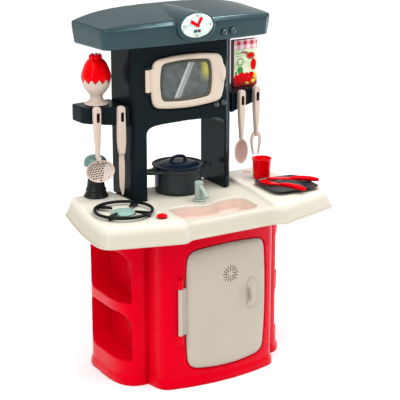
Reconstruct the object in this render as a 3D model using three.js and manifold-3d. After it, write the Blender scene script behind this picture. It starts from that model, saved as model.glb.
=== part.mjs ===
// Toy play kitchen: red base with shelf towers, cream worktop, dark upper panel, hood and accessories.
// Millimetres. +Z is up, -Y is the front, the origin is on the floor under the middle of the kitchen.

import * as THREE from 'three'
import { mergeVertices } from 'three/addons/utils/BufferGeometryUtils.js'
import { TessellateModifier } from 'three/addons/modifiers/TessellateModifier.js'
import Module from 'manifold-3d'

const wasm = await Module()
wasm.setup()

// ---------------------------------------------------------------- driving dimensions

const GAP = 0.4                 // clearance between neighbouring pieces
const WALL = 5                  // moulded wall
const LIP_Z = 445               // underside of the worktop's rim
const DECK_Z = 488              // middle of the worktop
const WING_Z = 499              // raised wings of the worktop
const BACK_Y = 201              // back edge of worktop, shelves and hood
const PANEL_FRONT_Y = 62        // front face of the upper panel
const PANEL_BACK_Y = 195
const PANEL_TOP_Z = 966
const HOOD_Z = 922              // lower edge of the hood
const HOOD_TOP_Z = 1013
const SHELF_Z = 757             // top of the two bracket shelves
const ARCH_Z = 701              // crown of the arch over the pot
const COLUMN_INNER_X = 126
const COLUMN_OUTER_X = 160

const BOW = 0.0008              // the base front bulges by BOW * x * x
const BASE_FRONT_Y = -136
const BASE_WALL = 14
const SEAM_Y = -48              // joint between the front panel and the shelf towers
const FLARE = 6                 // plinth flare at the floor
const FRONT_TOP_Z = 446
const TOWER_INNER_X = 184
const TOWER_CORNER = { x: 194, y: 58, width: 72 }   // centre and half width of a tower's rounded front
const TOWER_SQUARENESS = 0.72   // 1 would make that front an ellipse, less makes it squarer
const TOWER_TOP_Z = WING_Z - WALL - GAP
const POCKETS = [[71, 211], [241, 383]]   // floor and ceiling of the open shelves
const FLOOR_Z = [58, 66]        // cupboard floor

const DOOR = { x: 13.5, z: 223, width: 263, height: 356, bulge: 9, corner: 30 }
const DOOR_PROUD = 8
const DOOR_RECESS = 5
const VENT = { x: 15, z: 314, slots: 16 }
const HANDLE = { x: 84, z: 243, width: 38, height: 97, depth: 17 }
const DOOR_HINGE = { x: -135.5, y: -129, radius: 6.5, pin: 2.5, low: 158, high: 292, reach: 20 }

const OVEN = { x: 0, z: 815, width: 236, height: 148, bulge: 10, corner: 17 }
const OVEN_DOOR_Y = [48, 61.4]
const WINDOW = { x: -6.5, z: 818, width: 164, height: 112, bulge: 7, corner: 8 }
const OVEN_HINGE = { x: -127, y: 54.5, radius: 6, pin: 2, low: 796, high: 858, reach: 7 }

const HOB = { x: -252, y: -31, radius: 77, tube: 4.5, z: 509 }
const BUTTON = { x: -184, y: -118, radius: 15 }
const TAP = { x: 0, y: -3 }
const POT = { x: 2, y: 114, radius: 67, height: 76 }
const MILL = { x: -240, y: 151 }
const CUP = { x: 252, y: 62.5, height: 61 }
const PLATE = { x: 262, y: -48, size: 148, turn: -0.08 }
const EGG = { x: -229, y: 157 }
const FOOD_BOX = { x: [206, 286], y: [143, 161], height: 136 }
const CLOCK = { z: 969.5, width: 118, height: 81, y: 5, faceZ: 974, faceWidth: 99, faceHeight: 65 }
const KNOBS = {
  oven: [[95, 737], [118, 740]],
  hood: [[98, 944], [126, 946]]
}
const FRONT_WALL_Y = [PANEL_FRONT_Y, PANEL_FRONT_Y + 8]
const HOOD_KNOB_WALL = [27, 36.5]
const SCREWS = {
  brace: [[-225, 405], [-225, 425], [225, 405], [225, 425]],
  hood: [[-156, 948], [156, 948]]
}
const BRACE_Y = [172 + GAP, 184]
const PEG = { radius: 3, z: 742, length: 13 }
const UTENSILS = {
  skimmer: { x: -254, y: 108 },
  kitchen_knife: { x: -193, y: 84 },
  serving_spoon: { x: 195, y: 84.5 },
  carving_fork: { x: 263, y: 110.5 }
}
const HANDLE_TOP_Z = 762        // top of a hanging utensil
const HANDLE_DEPTH = 17

// ---------------------------------------------------------------- materials

const finish = (color, roughness, metalness = 0) =>
  new THREE.MeshStandardMaterial({ color, roughness, metalness })
const RED = finish(0xdf0b18, 0.35)
const TEAL = finish(0x3a4a50, 0.4)
const DARK_TEAL = finish(0x20262a, 0.45)
const CREAM = finish(0xece6d6, 0.4)
const BEIGE = finish(0xc4b8a4, 0.45)
const PINK_BEIGE = finish(0xd6c4b4, 0.45)
const GREY_GREEN = finish(0x8aa596, 0.4)
const CHARCOAL = finish(0x25282b, 0.35)
const WINDOW_GREY = finish(0x8d9496, 0.2)
const CARD = finish(0xd9d2c0, 0.8)
const STEEL = finish(0xb5b8bb, 0.3, 1)
const CLOCK_WHITE = finish(0xdfe9e2, 0.5)

// ---------------------------------------------------------------- solids and booleans

const vector = (x, y) => new THREE.Vector2(x, y)

const extrude = (points, depth, options) =>
  new THREE.ExtrudeGeometry(new THREE.Shape(points), { depth, bevelEnabled: false, ...options })

// A closed three.js geometry as a manifold solid, faces turned outwards, flat triangles left out.
function solid (source) {
  const bare = source.index ? source.toNonIndexed() : source.clone()
  bare.deleteAttribute('normal')
  bare.deleteAttribute('uv')
  const merged = mergeVertices(bare, 1e-4)
  const p = merged.attributes.position
  const index = merged.index.array
  const corner = [new THREE.Vector3(), new THREE.Vector3(), new THREE.Vector3()]
  const triangles = []
  let volume = 0
  for (let i = 0; i < index.length; i += 3) {
    const [a, b, c] = [index[i], index[i + 1], index[i + 2]]
    if (a === b || b === c || c === a) continue
    triangles.push(a, b, c)
    corner.forEach((v, k) => v.fromBufferAttribute(p, index[i + k]))
    volume += corner[0].dot(corner[1].clone().cross(corner[2]))
  }
  if (volume < 0) {
    for (let i = 0; i < triangles.length; i += 3) {
      [triangles[i], triangles[i + 1]] = [triangles[i + 1], triangles[i]]
    }
  }
  return new wasm.Manifold(new wasm.Mesh({
    numProp: 3,
    vertProperties: new Float32Array(p.array),
    triVerts: new Uint32Array(triangles)
  }))
}

function geometryOf (manifold) {
  const mesh = manifold.getMesh()
  const geometry = new THREE.BufferGeometry()
  geometry.setAttribute('position', new THREE.BufferAttribute(new Float32Array(mesh.vertProperties), 3))
  geometry.setIndex(new THREE.BufferAttribute(new Uint32Array(mesh.triVerts), 1))
  geometry.computeVertexNormals()
  return geometry
}

const join = (...pieces) => pieces.reduce((a, b) => a.add(b))
const cut = (body, ...tools) => tools.reduce((a, b) => a.subtract(b), body)

const box = (x, y, z) => {
  const geometry = new THREE.BoxGeometry(x[1] - x[0], y[1] - y[0], z[1] - z[0])
  return solid(geometry.translate((x[0] + x[1]) / 2, (y[0] + y[1]) / 2, (z[0] + z[1]) / 2))
}

// ---------------------------------------------------------------- outlines

const curve = (...p) => p.length === 3
  ? new THREE.QuadraticBezierCurve(...p.map(q => vector(...q)))
  : new THREE.CubicBezierCurve(...p.map(q => vector(...q)))
const along = (path, count) => path.getPoints(count)
const at = (...pairs) => pairs.map(q => vector(...q))

// The right half of a symmetric outline, listed from the front to the back, with its left half.
const mirrored = half => [...half, ...half.slice().reverse().map(p => vector(-p.x, p.y))]

// Every corner moved inwards by distance (outwards if negative); the outline runs anticlockwise.
function inset (points, distance) {
  return points.map((p, i) => {
    const before = p.clone().sub(points[(i + points.length - 1) % points.length]).normalize()
    const after = points[(i + 1) % points.length].clone().sub(p).normalize()
    const middle = before.clone().add(after).normalize()
    const stretch = 1 / Math.max(0.5, middle.dot(after))
    return vector(p.x - middle.y * distance * stretch, p.y + middle.x * distance * stretch)
  })
}

// A rounded rectangle whose four sides bulge, like a barrel or an old television screen.
function barrel ({ x, z, width, height, bulge, corner }, grow = 0) {
  const [w, h, r] = [width / 2 + grow, height / 2 + grow, corner + grow / 2]
  const [cx, cz] = [w - bulge, h - bulge]
  const quarter = [
    ...along(curve([cx + bulge, 0], [cx + bulge, (cz - r) / 2], [cx + bulge / 3, cz - r]), 3),
    ...along(curve([cx + bulge / 3, cz - r], [cx, cz], [cx - r, cz + bulge / 3]), 4).slice(1),
    ...along(curve([cx - r, cz + bulge / 3], [(cx - r) / 2, cz + bulge], [0, cz + bulge]), 3).slice(1, -1)
  ]
  const left = quarter.slice(1).reverse().map(p => vector(-p.x, p.y))
  const upper = [...quarter, vector(0, cz + bulge), ...left, vector(-w, 0)]
  const lower = upper.slice(1, -1).reverse().map(p => vector(p.x, -p.y))
  return [...upper, ...lower].map(p => vector(p.x + x, p.y + z))
}

const ellipse = (cx, cz, width, height, sides) => Array.from({ length: sides }, (_, i) => {
  const angle = 2 * Math.PI * i / sides
  return vector(cx + Math.cos(angle) * width / 2, cz + Math.sin(angle) * height / 2)
})

function roundedRectangle (x, y, radii, sides = 5) {
  const corners = [[x[1], y[1], 0], [x[0], y[1], 1], [x[0], y[0], 2], [x[1], y[0], 3]]
  return corners.flatMap(([cx, cy, quarter]) => {
    const r = radii[quarter]
    const [ox, oy] = [cx - Math.sign(cx - x[0] || -1) * r, cy - Math.sign(cy - y[0] || -1) * r]
    return Array.from({ length: sides + 1 }, (_, i) => {
      const angle = (quarter + i / sides) * Math.PI / 2
      return vector(ox + Math.cos(angle) * r, oy + Math.sin(angle) * r)
    })
  })
}

// ---------------------------------------------------------------- extrusions and turned solids

// An outline in plan carried up through levels of [height, inset].
function prism (points, levels) {
  const steps = levels.length - 1
  const geometry = extrude(points, steps, { steps })
  const moved = levels.map(([, distance]) => inset(points, distance))
  const p = geometry.attributes.position
  for (let i = 0; i < p.count; i++) {
    const level = Math.round(p.getZ(i))
    const here = vector(p.getX(i), p.getY(i))
    const target = moved[level][points.findIndex(q => q.distanceTo(here) < 1e-3)]
    p.setXYZ(i, target.x, target.y, levels[level][0])
  }
  return solid(geometry)
}

// An outline in the X-Z plane carried along Y.
function alongY (points, y) {
  const geometry = extrude(points, y[1] - y[0])
  return solid(geometry.rotateX(Math.PI / 2).translate(0, y[1], 0))
}

// An outline in the Y-Z plane carried along X.
function alongX (points, x) {
  const geometry = extrude(points, x[1] - x[0])
  const axes = new THREE.Matrix4().makeBasis(
    new THREE.Vector3(0, 1, 0), new THREE.Vector3(0, 0, 1), new THREE.Vector3(1, 0, 0))
  return solid(geometry.applyMatrix4(axes).translate(x[0], 0, 0))
}

// A flat outline in the X-Z plane with rounded-over faces, from y[0] to y[1].
function cushioned (points, y, round, segments = 2) {
  const geometry = extrude(points, y[1] - y[0] - 2 * round, {
    bevelEnabled: true,
    bevelThickness: round,
    bevelSize: round,
    bevelOffset: -round,
    bevelSegments: segments
  })
  return geometry.rotateX(Math.PI / 2).translate(0, y[1] - round, 0)
}

// A profile of [radius, height] pairs turned about a vertical axis, or about an axis along -Y.
function turned (profile, { x = 0, y = 0, z = 0, sides = 20, forward = false } = {}) {
  const geometry = new THREE.LatheGeometry(profile.map(q => vector(...q)), sides)
  geometry.rotateX(Math.PI / 2)
  if (forward) geometry.rotateX(Math.PI / 2)
  return solid(geometry.translate(x, y, z))
}

const rod = (radius, low, high) => [[0, low], [radius, low], [radius, high], [0, high]]
const upright = (radius, x, y, z, sides = 12) => turned(rod(radius, z[0], z[1]), { x, y, sides })
const forwardRod = (radius, x, z, y, sides = 10) =>
  turned(rod(radius, -y[1], -y[0]), { x, z, sides, forward: true })

function tube (points, radius, sides, steps) {
  const path = new THREE.CatmullRomCurve3(points.map(q => new THREE.Vector3(...q)))
  const section = new THREE.Shape(ellipse(0, 0, 2 * radius, 2 * radius, sides))
  return solid(new THREE.ExtrudeGeometry(section, { steps, extrudePath: path, bevelEnabled: false }))
}

// ---------------------------------------------------------------- the model

const group = new THREE.Group()

function add (name, shape, material) {
  const mesh = new THREE.Mesh(shape.isBufferGeometry ? shape : geometryOf(shape), material)
  mesh.name = name
  group.add(mesh)
}

// ---------------------------------------------------------------- red base

const bow = x => BOW * x * x

const PLINTH = [[0, -FLARE], [10, -FLARE + 1], [26, 0]]
const frontOutline = mirrored([
  ...Array.from({ length: 6 }, (_, i) => vector(15 + i * 27, BASE_FRONT_Y + bow(15 + i * 27))),
  ...along(curve([150 + 5, -116.5], [177, -112], [184, -88]), 5),
  ...at([191, SEAM_Y], [194, SEAM_Y + 30])
])
const behindSeam = box([-400, 400], [SEAM_Y, 400], [-10, 600])

function hingeSockets ({ x, y, radius, low, high }, length, wallY) {
  const ends = [[low - GAP - length, low - GAP], [high + GAP, high + GAP + length]]
  return join(...ends.flatMap(z => [
    upright(radius + 1, x, y, z, 14),
    box([x - radius - 1, x + radius + 1], [y, wallY], z)
  ]))
}

function baseFrontPanel () {
  const outer = prism(frontOutline, [...PLINTH, [FRONT_TOP_Z, 0]])
  const inner = prism(inset(frontOutline, BASE_WALL), [[-1, 0], [FRONT_TOP_Z + 1, 0]])
  const shell = cut(outer, inner, behindSeam)
  const recess = cut(
    alongY(barrel(DOOR, 3), [-200, 0]),
    prism(frontOutline, [[-1, DOOR_RECESS], [600, DOOR_RECESS]])
  )
  const opening = alongY(barrel(DOOR, -14), [-200, 0])
  const sockets = hingeSockets(DOOR_HINGE, 28, BASE_FRONT_Y + bow(DOOR_HINGE.x) + 4)
  const bore = upright(DOOR_HINGE.pin + GAP, DOOR_HINGE.x, DOOR_HINGE.y, pinSpan(DOOR_HINGE, GAP), 12)
  return cut(shell, recess, opening).add(sockets).subtract(bore)
}

const pinSpan = ({ low, high, reach }, slack = 0) => [low - reach - slack, high + reach + slack]
const hingePin = hinge => upright(hinge.pin, hinge.x, hinge.y, pinSpan(hinge), 12)

const towerOutline = [
  ...at([-TOWER_INNER_X, 172]),
  ...along(curve([-238, 172], [-262, 172], [-264, 130]), 4),
  ...Array.from({ length: 9 }, (_, i) => {
    const across = Math.cos(i * Math.PI / 16) ** TOWER_SQUARENESS
    const forward = Math.sin(i * Math.PI / 16) ** TOWER_SQUARENESS
    const { x, y, width } = TOWER_CORNER
    return vector(-x - width * across, y - (y - SEAM_Y) * forward)
  }),
  ...at([-TOWER_INNER_X, SEAM_Y])
]

function shelfTower () {
  const outer = prism(towerOutline, [...PLINTH, [TOWER_TOP_Z, 0]])
  const frontPanel = prism(inset(frontOutline, -GAP), [...PLINTH, [600, 0]])
  const trimmed = cut(
    outer,
    box([-TOWER_INNER_X, 0], [-200, 300], [-10, 600]),
    cut(frontPanel, box([-400, 400], [SEAM_Y + GAP, 400], [-10, 610])),
    box([-195, 0], [-200, SEAM_Y + GAP], [-10, 600])
  )
  const pockets = POCKETS.map(([low, high]) =>
    alongX(roundedRectangle([-38, 158], [low, high], [30, 38, 8, 38], 4), [-300, -TOWER_INNER_X - 6]))
  const hollowOutline = inset(towerOutline, 6)
  const underside = prism(hollowOutline, [[-1, 0], [POCKETS[0][0] - 9, 0]])
  const upperHollow = prism(hollowOutline, [[POCKETS[1][1] + 7, 0], [600, 0]])
  const holes = SCREWS.brace.filter(([x]) => x < 0).map(([x, z]) => forwardRod(1.9, x, z, [158, 180], 8))
  return cut(trimmed, ...pockets, underside, upperHollow, ...holes)
}

const mirrorX = manifold => {
  const geometry = geometryOf(manifold)
  geometry.scale(-1, 1, 1)
  return solid(geometry)
}

function cupboardFloor () {
  const front = prism(inset(frontOutline, BASE_WALL + GAP), FLOOR_Z.map(level => [level, 0]))
  const side = TOWER_INNER_X - 2 * GAP
  return join(
    cut(front, behindSeam),
    box([-side, side], [SEAM_Y + 2 * GAP, 168], FLOOR_Z),
    box([-170, 170], [SEAM_Y - 1, SEAM_Y + 2], FLOOR_Z)
  )
}

function rearBrace () {
  const bar = box([-246, 246], BRACE_Y, [393, 437])
  return cut(bar, ...SCREWS.brace.map(([x, z]) => forwardRod(2.3, x, z, [165, 190], 8)))
}

// A pan-head screw pointing forwards from a back face at y.
function screw (x, z, y, length) {
  const profile = [[0, -2.2], [2.6, -2], [3.8, -1], [4, 0], [1.5, 0], [1.5, length - 1.5], [0, length]]
  return turned(profile, { x, z, y, sides: 10, forward: true })
}

// ---------------------------------------------------------------- cupboard door

const tessellate = (geometry, longest) => new TessellateModifier(longest, 12).modify(geometry)

function bowed (geometry, front) {
  const p = geometry.attributes.position
  for (let i = 0; i < p.count; i++) p.setY(i, p.getY(i) + front + bow(p.getX(i)))
  return geometry
}

function hingeBarrel ({ x, y, radius, pin, low, high }, reach, wall) {
  const web = box([x, x + reach], wall, [low, high])
  const bore = upright(pin + GAP, x, y, [low - 1, high + 1], 12)
  return { body: join(upright(radius, x, y, [low, high], 16), web), bore }
}

function cupboardDoor () {
  const panel = cushioned(barrel(DOOR), [-DOOR_PROUD, DOOR_RECESS - 1.3], 5.5, 1)
  const body = solid(bowed(tessellate(panel, 60), BASE_FRONT_Y))
  const hinge = hingeBarrel(DOOR_HINGE, 24, [-131, -125])
  const vents = Array.from({ length: VENT.slots }, (_, i) => {
    const slot = new THREE.BoxGeometry(16, 40, 2.6).translate(18, 0, 0)
    return solid(slot.rotateY(-2 * Math.PI * i / VENT.slots).translate(VENT.x, BASE_FRONT_Y, VENT.z))
  })
  return cut(body.add(hinge.body), hinge.bore, ...vents)
}

function doorHandle () {
  const back = BASE_FRONT_Y + bow(HANDLE.x + HANDLE.width / 2) - DOOR_PROUD
  const shell = new THREE.SphereGeometry(1, 16, 8)
  shell.scale(HANDLE.width / 2, HANDLE.depth, HANDLE.height / 2).translate(HANDLE.x, back, HANDLE.z)
  const scoop = new THREE.SphereGeometry(1, 12, 8)
  scoop.scale(13, 16, 34).translate(HANDLE.x - 9, back - 12, HANDLE.z - 3)
  const seat = prism(inset(frontOutline, -DOOR_PROUD - GAP), [[0, 0], [600, 0]])
  return cut(solid(shell), seat, solid(scoop))
}

// ---------------------------------------------------------------- worktop

const worktopOutline = mirrored([
  ...at([60, -185]),
  ...along(curve([122, -185], [142, -185], [141, -201], [164, -201]), 5),
  ...along(curve([345, -147], [366, -139], [371, -122], [372.5, -98]), 4),
  ...along(curve([372, -80], [365, 20], [322, 180]), 5),
  ...at([314, 196], [302, BACK_Y])
])
const SKIRT = [
  [LIP_Z, 0], [LIP_Z + 6, 0], [LIP_Z + 8, 3], [WING_Z - 10, 18], [WING_Z - 3, 21], [WING_Z, 25]
]
const valleyOutline = mirrored(at([134, -240], [137, -150], [164, 0], [173, 120], [178, 240]))
const basinOutline = mirrored([
  ...along(new THREE.EllipseCurve(TAP.x, TAP.y, 40, 40, -1.45, -0.6), 4),
  ...along(curve([86, -24], [118, -24], [121, -56]), 4),
  ...along(curve([119, -104], [116, -141], [76, -142]), 5)
].reverse())

function worktop () {
  const outer = prism(worktopOutline, SKIRT)
  const valley = prism(valleyOutline, [[DECK_Z, 0], [WING_Z + 1, -9]])
  const hollowLevels = [[LIP_Z - 1, WALL], [LIP_Z + 6, WALL], [LIP_Z + 8, WALL + 3], [WING_Z - WALL, 24]]
  const underDeck = prism(inset(valleyOutline, -WALL), [[DECK_Z - WALL, 0], [600, -9]])
  const hollow = cut(prism(worktopOutline, hollowLevels), underDeck)
  const basinFloor = FRONT_TOP_Z + GAP
  const basin = prism(basinOutline, [[basinFloor, 6], [DECK_Z - 1, -4]])
  const bowl = prism(basinOutline, [
    [basinFloor + 4, 16], [basinFloor + 11, 7], [DECK_Z - 3, 1], [DECK_Z + 1, 0]
  ])
  const bores = [
    upright(4.4, TAP.x, TAP.y, [470, 500], 12),
    upright(BUTTON.radius - 5 + GAP, BUTTON.x, BUTTON.y, [470, 520], 20),
    upright(4.4, HOB.x, HOB.y, [470, 520], 12)
  ]
  const dent = turned([[0, -3.4], [11, -3.4], [15, 0.1], [15, 2], [0, 2]], { x: 252, y: 140, z: WING_Z })
  return cut(cut(outer, valley, hollow).add(basin), bowl, dent, ...bores)
}

// ---------------------------------------------------------------- upper panel and microwave

const panelOutline = mirrored([
  ...at([60, PANEL_FRONT_Y]),
  ...along(curve([128, PANEL_FRONT_Y], [147, 67], [159, 90]), 4),
  ...at([COLUMN_OUTER_X, 96], [COLUMN_OUTER_X + 4, PANEL_BACK_Y])
])
const archOutline = [
  ...at([COLUMN_INNER_X, 400], [COLUMN_INNER_X, 672]),
  ...along(curve([COLUMN_INNER_X, 676], [COLUMN_INNER_X - 2, 693], [104, ARCH_Z - 4]), 4),
  ...along(curve([90, ARCH_Z - 2], [0, ARCH_Z + 3], [-90, ARCH_Z - 2]), 6),
  ...along(curve([-104, ARCH_Z - 4], [2 - COLUMN_INNER_X, 693], [-COLUMN_INNER_X, 676]), 4),
  ...at([-COLUMN_INNER_X, 672], [-COLUMN_INNER_X, 400])
]
const CAVITY_Z = [712, 958]      // hollow behind the microwave door
const COLUMN_Z = [500, 671]      // hollows of the two columns beside the arch
const ovenMouth = roundedRectangle([-100, 100], [757, 873], [14, 14, 14, 14], 3)

function upperPanel () {
  const block = prism(panelOutline, [[DECK_Z + GAP, 0], [PANEL_TOP_Z, 0]])
  const arch = alongY(archOutline, [0, 300])
  const rear = [FRONT_WALL_Y[1], 300]
  const interior = join(
    prism(inset(panelOutline, 8), [[COLUMN_Z[0], 0], [CAVITY_Z[1], 0]]),
    box([-148, 148], [100, 300], [COLUMN_Z[0], CAVITY_Z[1]])
  )
  const rooms = join(
    box([-200, 200], rear, CAVITY_Z),
    box([-200, -COLUMN_INNER_X - WALL], rear, COLUMN_Z),
    box([COLUMN_INNER_X + WALL, 200], rear, COLUMN_Z)
  )
  const mouth = alongY(ovenMouth, [0, 100])
  const sockets = hingeSockets(OVEN_HINGE, 9, PANEL_FRONT_Y + 3)
  const bore = upright(OVEN_HINGE.pin + GAP, OVEN_HINGE.x, OVEN_HINGE.y, pinSpan(OVEN_HINGE, GAP), 12)
  const shafts = KNOBS.oven.map(([x, z]) => forwardRod(3.1, x, z, [50, 80], 12))
  const screwHoles = SCREWS.hood.map(([x, z]) => forwardRod(1.9, x, z, [175, 220], 8))
  const shell = cut(block, arch, interior.intersect(rooms), mouth)
  return cut(shell.add(sockets), bore, ...shafts, ...screwHoles)
}

function microwaveBox () {
  const y = [FRONT_WALL_Y[1] + GAP, 172]
  const outer = box([-112, 112], y, [748, 882])
  return cut(outer, box([-107, 107], [0, y[1] - 5], [753, 877]))
}

function microwaveDoor () {
  const frame = solid(cushioned(barrel(OVEN), OVEN_DOOR_Y, 4, 1))
  const hinge = hingeBarrel(OVEN_HINGE, 14, [52, 58])
  const pane = alongY(barrel(WINDOW), [0, 100])
  const rebate = alongY(barrel(WINDOW, 4), [OVEN_DOOR_Y[0] + 6, 100])
  return cut(frame.add(hinge.body), hinge.bore, pane, rebate)
}

const microwaveWindow = () =>
  alongY(barrel(WINDOW, 4 - GAP), [OVEN_DOOR_Y[0] + 6 + GAP, OVEN_DOOR_Y[1] - 2])

// A domed knob on a snap-in shaft; wall gives the front and back of the wall that it turns in.
function knob ([x, z], wall) {
  const front = wall[0] - GAP
  const profile = [
    [0, -(wall[1] + 3.5)], [2.8, -(wall[1] + 3.2)], [4.2, -(wall[1] + GAP)], [2.6, -(wall[1] + GAP)],
    [2.6, -front], [9.1, -front], [9.4, 2.5 - front], [7.9, 6.5 - front], [4.6, 8.8 - front], [0, 9.6 - front]
  ]
  return turned(profile, { x, z, sides: 12, forward: true })
}

// ---------------------------------------------------------------- bracket shelves with utensil pegs

const SHELF_SWEEP = 0.39
const shelfFront = x => 87 + (Math.abs(x) - 165) * SHELF_SWEEP
const shelfOutline = [
  ...at([COLUMN_OUTER_X + 4 + GAP, shelfFront(165)], [268, shelfFront(268)]),
  ...along(curve([272, shelfFront(272)], [282, 135], [283.5, 145]), 3),
  ...along(curve([286, 185], [286.5, BACK_Y], [275, BACK_Y]), 3),
  ...at([COLUMN_OUTER_X + 5 + GAP, BACK_Y])
]
const shelfUnderside = [[COLUMN_OUTER_X, 600], [COLUMN_OUTER_X, 698], [184, 703], [298, 714], [298, 600]]

function bracketShelf (side) {
  const outer = prism(shelfOutline, [[690, 0], [SHELF_Z - 4, 0], [SHELF_Z, 3]])
  const hollow = prism(shelfOutline, [[680, WALL], [SHELF_Z - WALL, WALL]])
  const slope = alongY(at(...shelfUnderside), [0, 300])
  const shell = cut(outer, hollow, slope)
  const placed = side > 0 ? shell : mirrorX(shell)
  const pegs = Object.values(UTENSILS).filter(({ x }) => x * side > 0)
    .map(({ x }) => forwardRod(PEG.radius, x, PEG.z, [shelfFront(x) - PEG.length, shelfFront(x) + 2], 10))
  return join(placed, ...pegs)
}

// ---------------------------------------------------------------- hood and clock

const hoodOutline = mirrored([
  ...Array.from({ length: 5 }, (_, i) => vector(20 + i * 50, 25 + 0.00022 * (20 + i * 50) ** 2)),
  ...along(curve([242, 38.5], [260, 42], [263, 62]), 4),
  ...at([276, BACK_Y + 20])
])

// Roof solid: an arch across X that also climbs from the front edge to the back.
function roof (drop) {
  const crest = Array.from({ length: 25 }, (_, i) => vector(300 - i * 25, 1))
  const geometry = new THREE.ExtrudeGeometry(new THREE.Shape([...at([-300, 0], [300, 0]), ...crest]),
    { depth: 5, steps: 5, bevelEnabled: false })
  geometry.rotateX(Math.PI / 2).translate(0, 5, 0)
  const p = geometry.attributes.position
  for (let i = 0; i < p.count; i++) {
    const t = p.getY(i) / 5
    const arch = 1 - (p.getX(i) / 275) ** 2
    const flat = 1 - (p.getX(i) / 285) ** 4
    const height = 976 + 7 * arch + Math.pow(t, 0.8) * (5 + 25 * flat) - drop
    p.setXYZ(i, p.getX(i), 10 + t * (BACK_Y - 8), p.getZ(i) > 0.5 ? height : HOOD_Z - 40)
  }
  return solid(geometry)
}

function hood () {
  const band = prism(hoodOutline, [[HOOD_Z, 5], [HOOD_Z + 4, 3], [965, -3], [HOOD_TOP_Z + 20, -3]])
  const inner = prism(hoodOutline, [[HOOD_Z - 1, WALL + 5], [965, WALL - 3], [HOOD_TOP_Z, WALL - 3]])
  const boss = alongY(ellipse(0, CLOCK.z, CLOCK.width, CLOCK.height, 32), [CLOCK.y, BACK_Y])
  const trim = box([-300, 300], [-50, BACK_Y], [HOOD_Z, 1100])
  const shell = band.intersect(roof(0)).add(boss).intersect(trim)
  const cavity = inner.intersect(roof(WALL)).intersect(box([-300, 300], [0, BACK_Y - WALL], [0, 1100]))
  const seat = ellipse(0, CLOCK.faceZ, CLOCK.faceWidth + 1, CLOCK.faceHeight + 1, 24)
  const faceSeat = alongY(seat, [0, CLOCK.y + 3.4])
  const pinHole = forwardRod(1.9, 0, CLOCK.faceZ, [0, CLOCK.y + 20], 10)
  const knobHoles = KNOBS.hood.map(([x, z]) => join(
    forwardRod(3.1, x, z, [0, 60], 12),
    forwardRod(11, x, z, [0, HOOD_KNOB_WALL[0]], 16)
  ))
  const screwHeads = SCREWS.hood.map(([x, z]) => join(
    forwardRod(2.3, x, z, [180, 210], 8),
    forwardRod(4.6, x, z, [BACK_Y - 3, 210], 12)
  ))
  return cut(shell, cavity, faceSeat, pinHole, ...knobHoles, ...screwHeads)
}

const clockFace = () => cut(
  alongY(ellipse(0, CLOCK.faceZ, CLOCK.faceWidth, CLOCK.faceHeight, 24), [CLOCK.y + 0.4, CLOCK.y + 3]),
  forwardRod(1.9, 0, CLOCK.faceZ, [0, 20], 10)
)

// A clock hand: a rounded bar from the pin, angle measured clockwise from twelve.
function clockHand (length, width, degrees, y) {
  const bar = roundedRectangle([-width / 2, width / 2], [-width * 0.6, length], [3, 3, 3, 3], 2)
  const turn = -degrees * Math.PI / 180
  const points = bar.map(p => p.clone().rotateAround(vector(0, 0), turn).add(vector(0, CLOCK.faceZ)))
  return cut(alongY(points, y), forwardRod(1.9, 0, CLOCK.faceZ, [-20, 20], 12))
}

const clockPin = () => turned([[0, -22], [1.4, -22], [1.4, -1], [3.2, -1], [2.6, 0.4], [0, 0.7]],
  { z: CLOCK.faceZ, sides: 14, forward: true })

// ---------------------------------------------------------------- tap, hob and button

function tapBase () {
  const profile = [[0, -10], [3.6, -10], [3.6, 0.4], [17, 0.4], [17, 3], [14, 5.6], [0, 5.6]]
  return turned(profile, { x: TAP.x, y: TAP.y, z: DECK_Z, sides: 22 })
}

function tapSpout () {
  const post = turned([[0, 6], [12.5, 6], [11.5, 30], [11.8, 50], [12.2, 52], [11.5, 55], [0, 55.5]],
    { x: TAP.x, y: TAP.y, z: DECK_Z, sides: 22 })
  const spout = tube([[0, TAP.y, 534], [0, TAP.y - 18, 530], [0, TAP.y - 38, 512]], 5.5, 8, 5)
  const tip = new THREE.SphereGeometry(6.5, 10, 6).translate(0, TAP.y - 39, 510)
  return join(post, spout, solid(tip))
}

function hobGrate () {
  const ring = new THREE.TorusGeometry(HOB.radius, HOB.tube, 6, 30).translate(HOB.x, HOB.y, HOB.z)
  const legHeight = HOB.z - WING_Z - GAP
  const pieces = [0, 1, 2, 3].flatMap(i => {
    const angle = 0.6 + i * Math.PI / 2
    const prong = new THREE.BoxGeometry(42, 6, 6).translate(HOB.radius - 21, 0, 0)
    const leg = new THREE.BoxGeometry(7, 8, legHeight).translate(HOB.radius, 0, -legHeight / 2)
    return [prong, leg].map(g => solid(g.rotateZ(angle).translate(HOB.x, HOB.y, HOB.z)))
  })
  return join(solid(ring), ...pieces)
}

function burnerCap () {
  const profile = [
    [0, -8], [3.6, -8], [3.6, 0.4], [31, 0.4], [33, 1.5], [33, 3.6], [30, 6.4], [12, 7.4], [0, 7.6]
  ]
  return turned(profile, { x: HOB.x, y: HOB.y, z: WING_Z, sides: 20 })
}

function hobButton () {
  const r = BUTTON.radius
  const profile = [
    [0, -9], [r - 4, -9], [r - 4, -5.6], [r - 5, -5.6], [r - 5, 3.6], [r, 3.6], [r - 0.6, 6], [r - 4, 9.5],
    [r - 9, 11.3], [0, 11.8]
  ]
  return turned(profile, { x: BUTTON.x, y: BUTTON.y, z: WING_Z, sides: 22 })
}

// ---------------------------------------------------------------- hanging utensils

const slot = roundedRectangle([-4, 4], [721, PEG.z + PEG.radius + GAP], [3.9, 3.9, 3.9, 3.9], 3)

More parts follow.
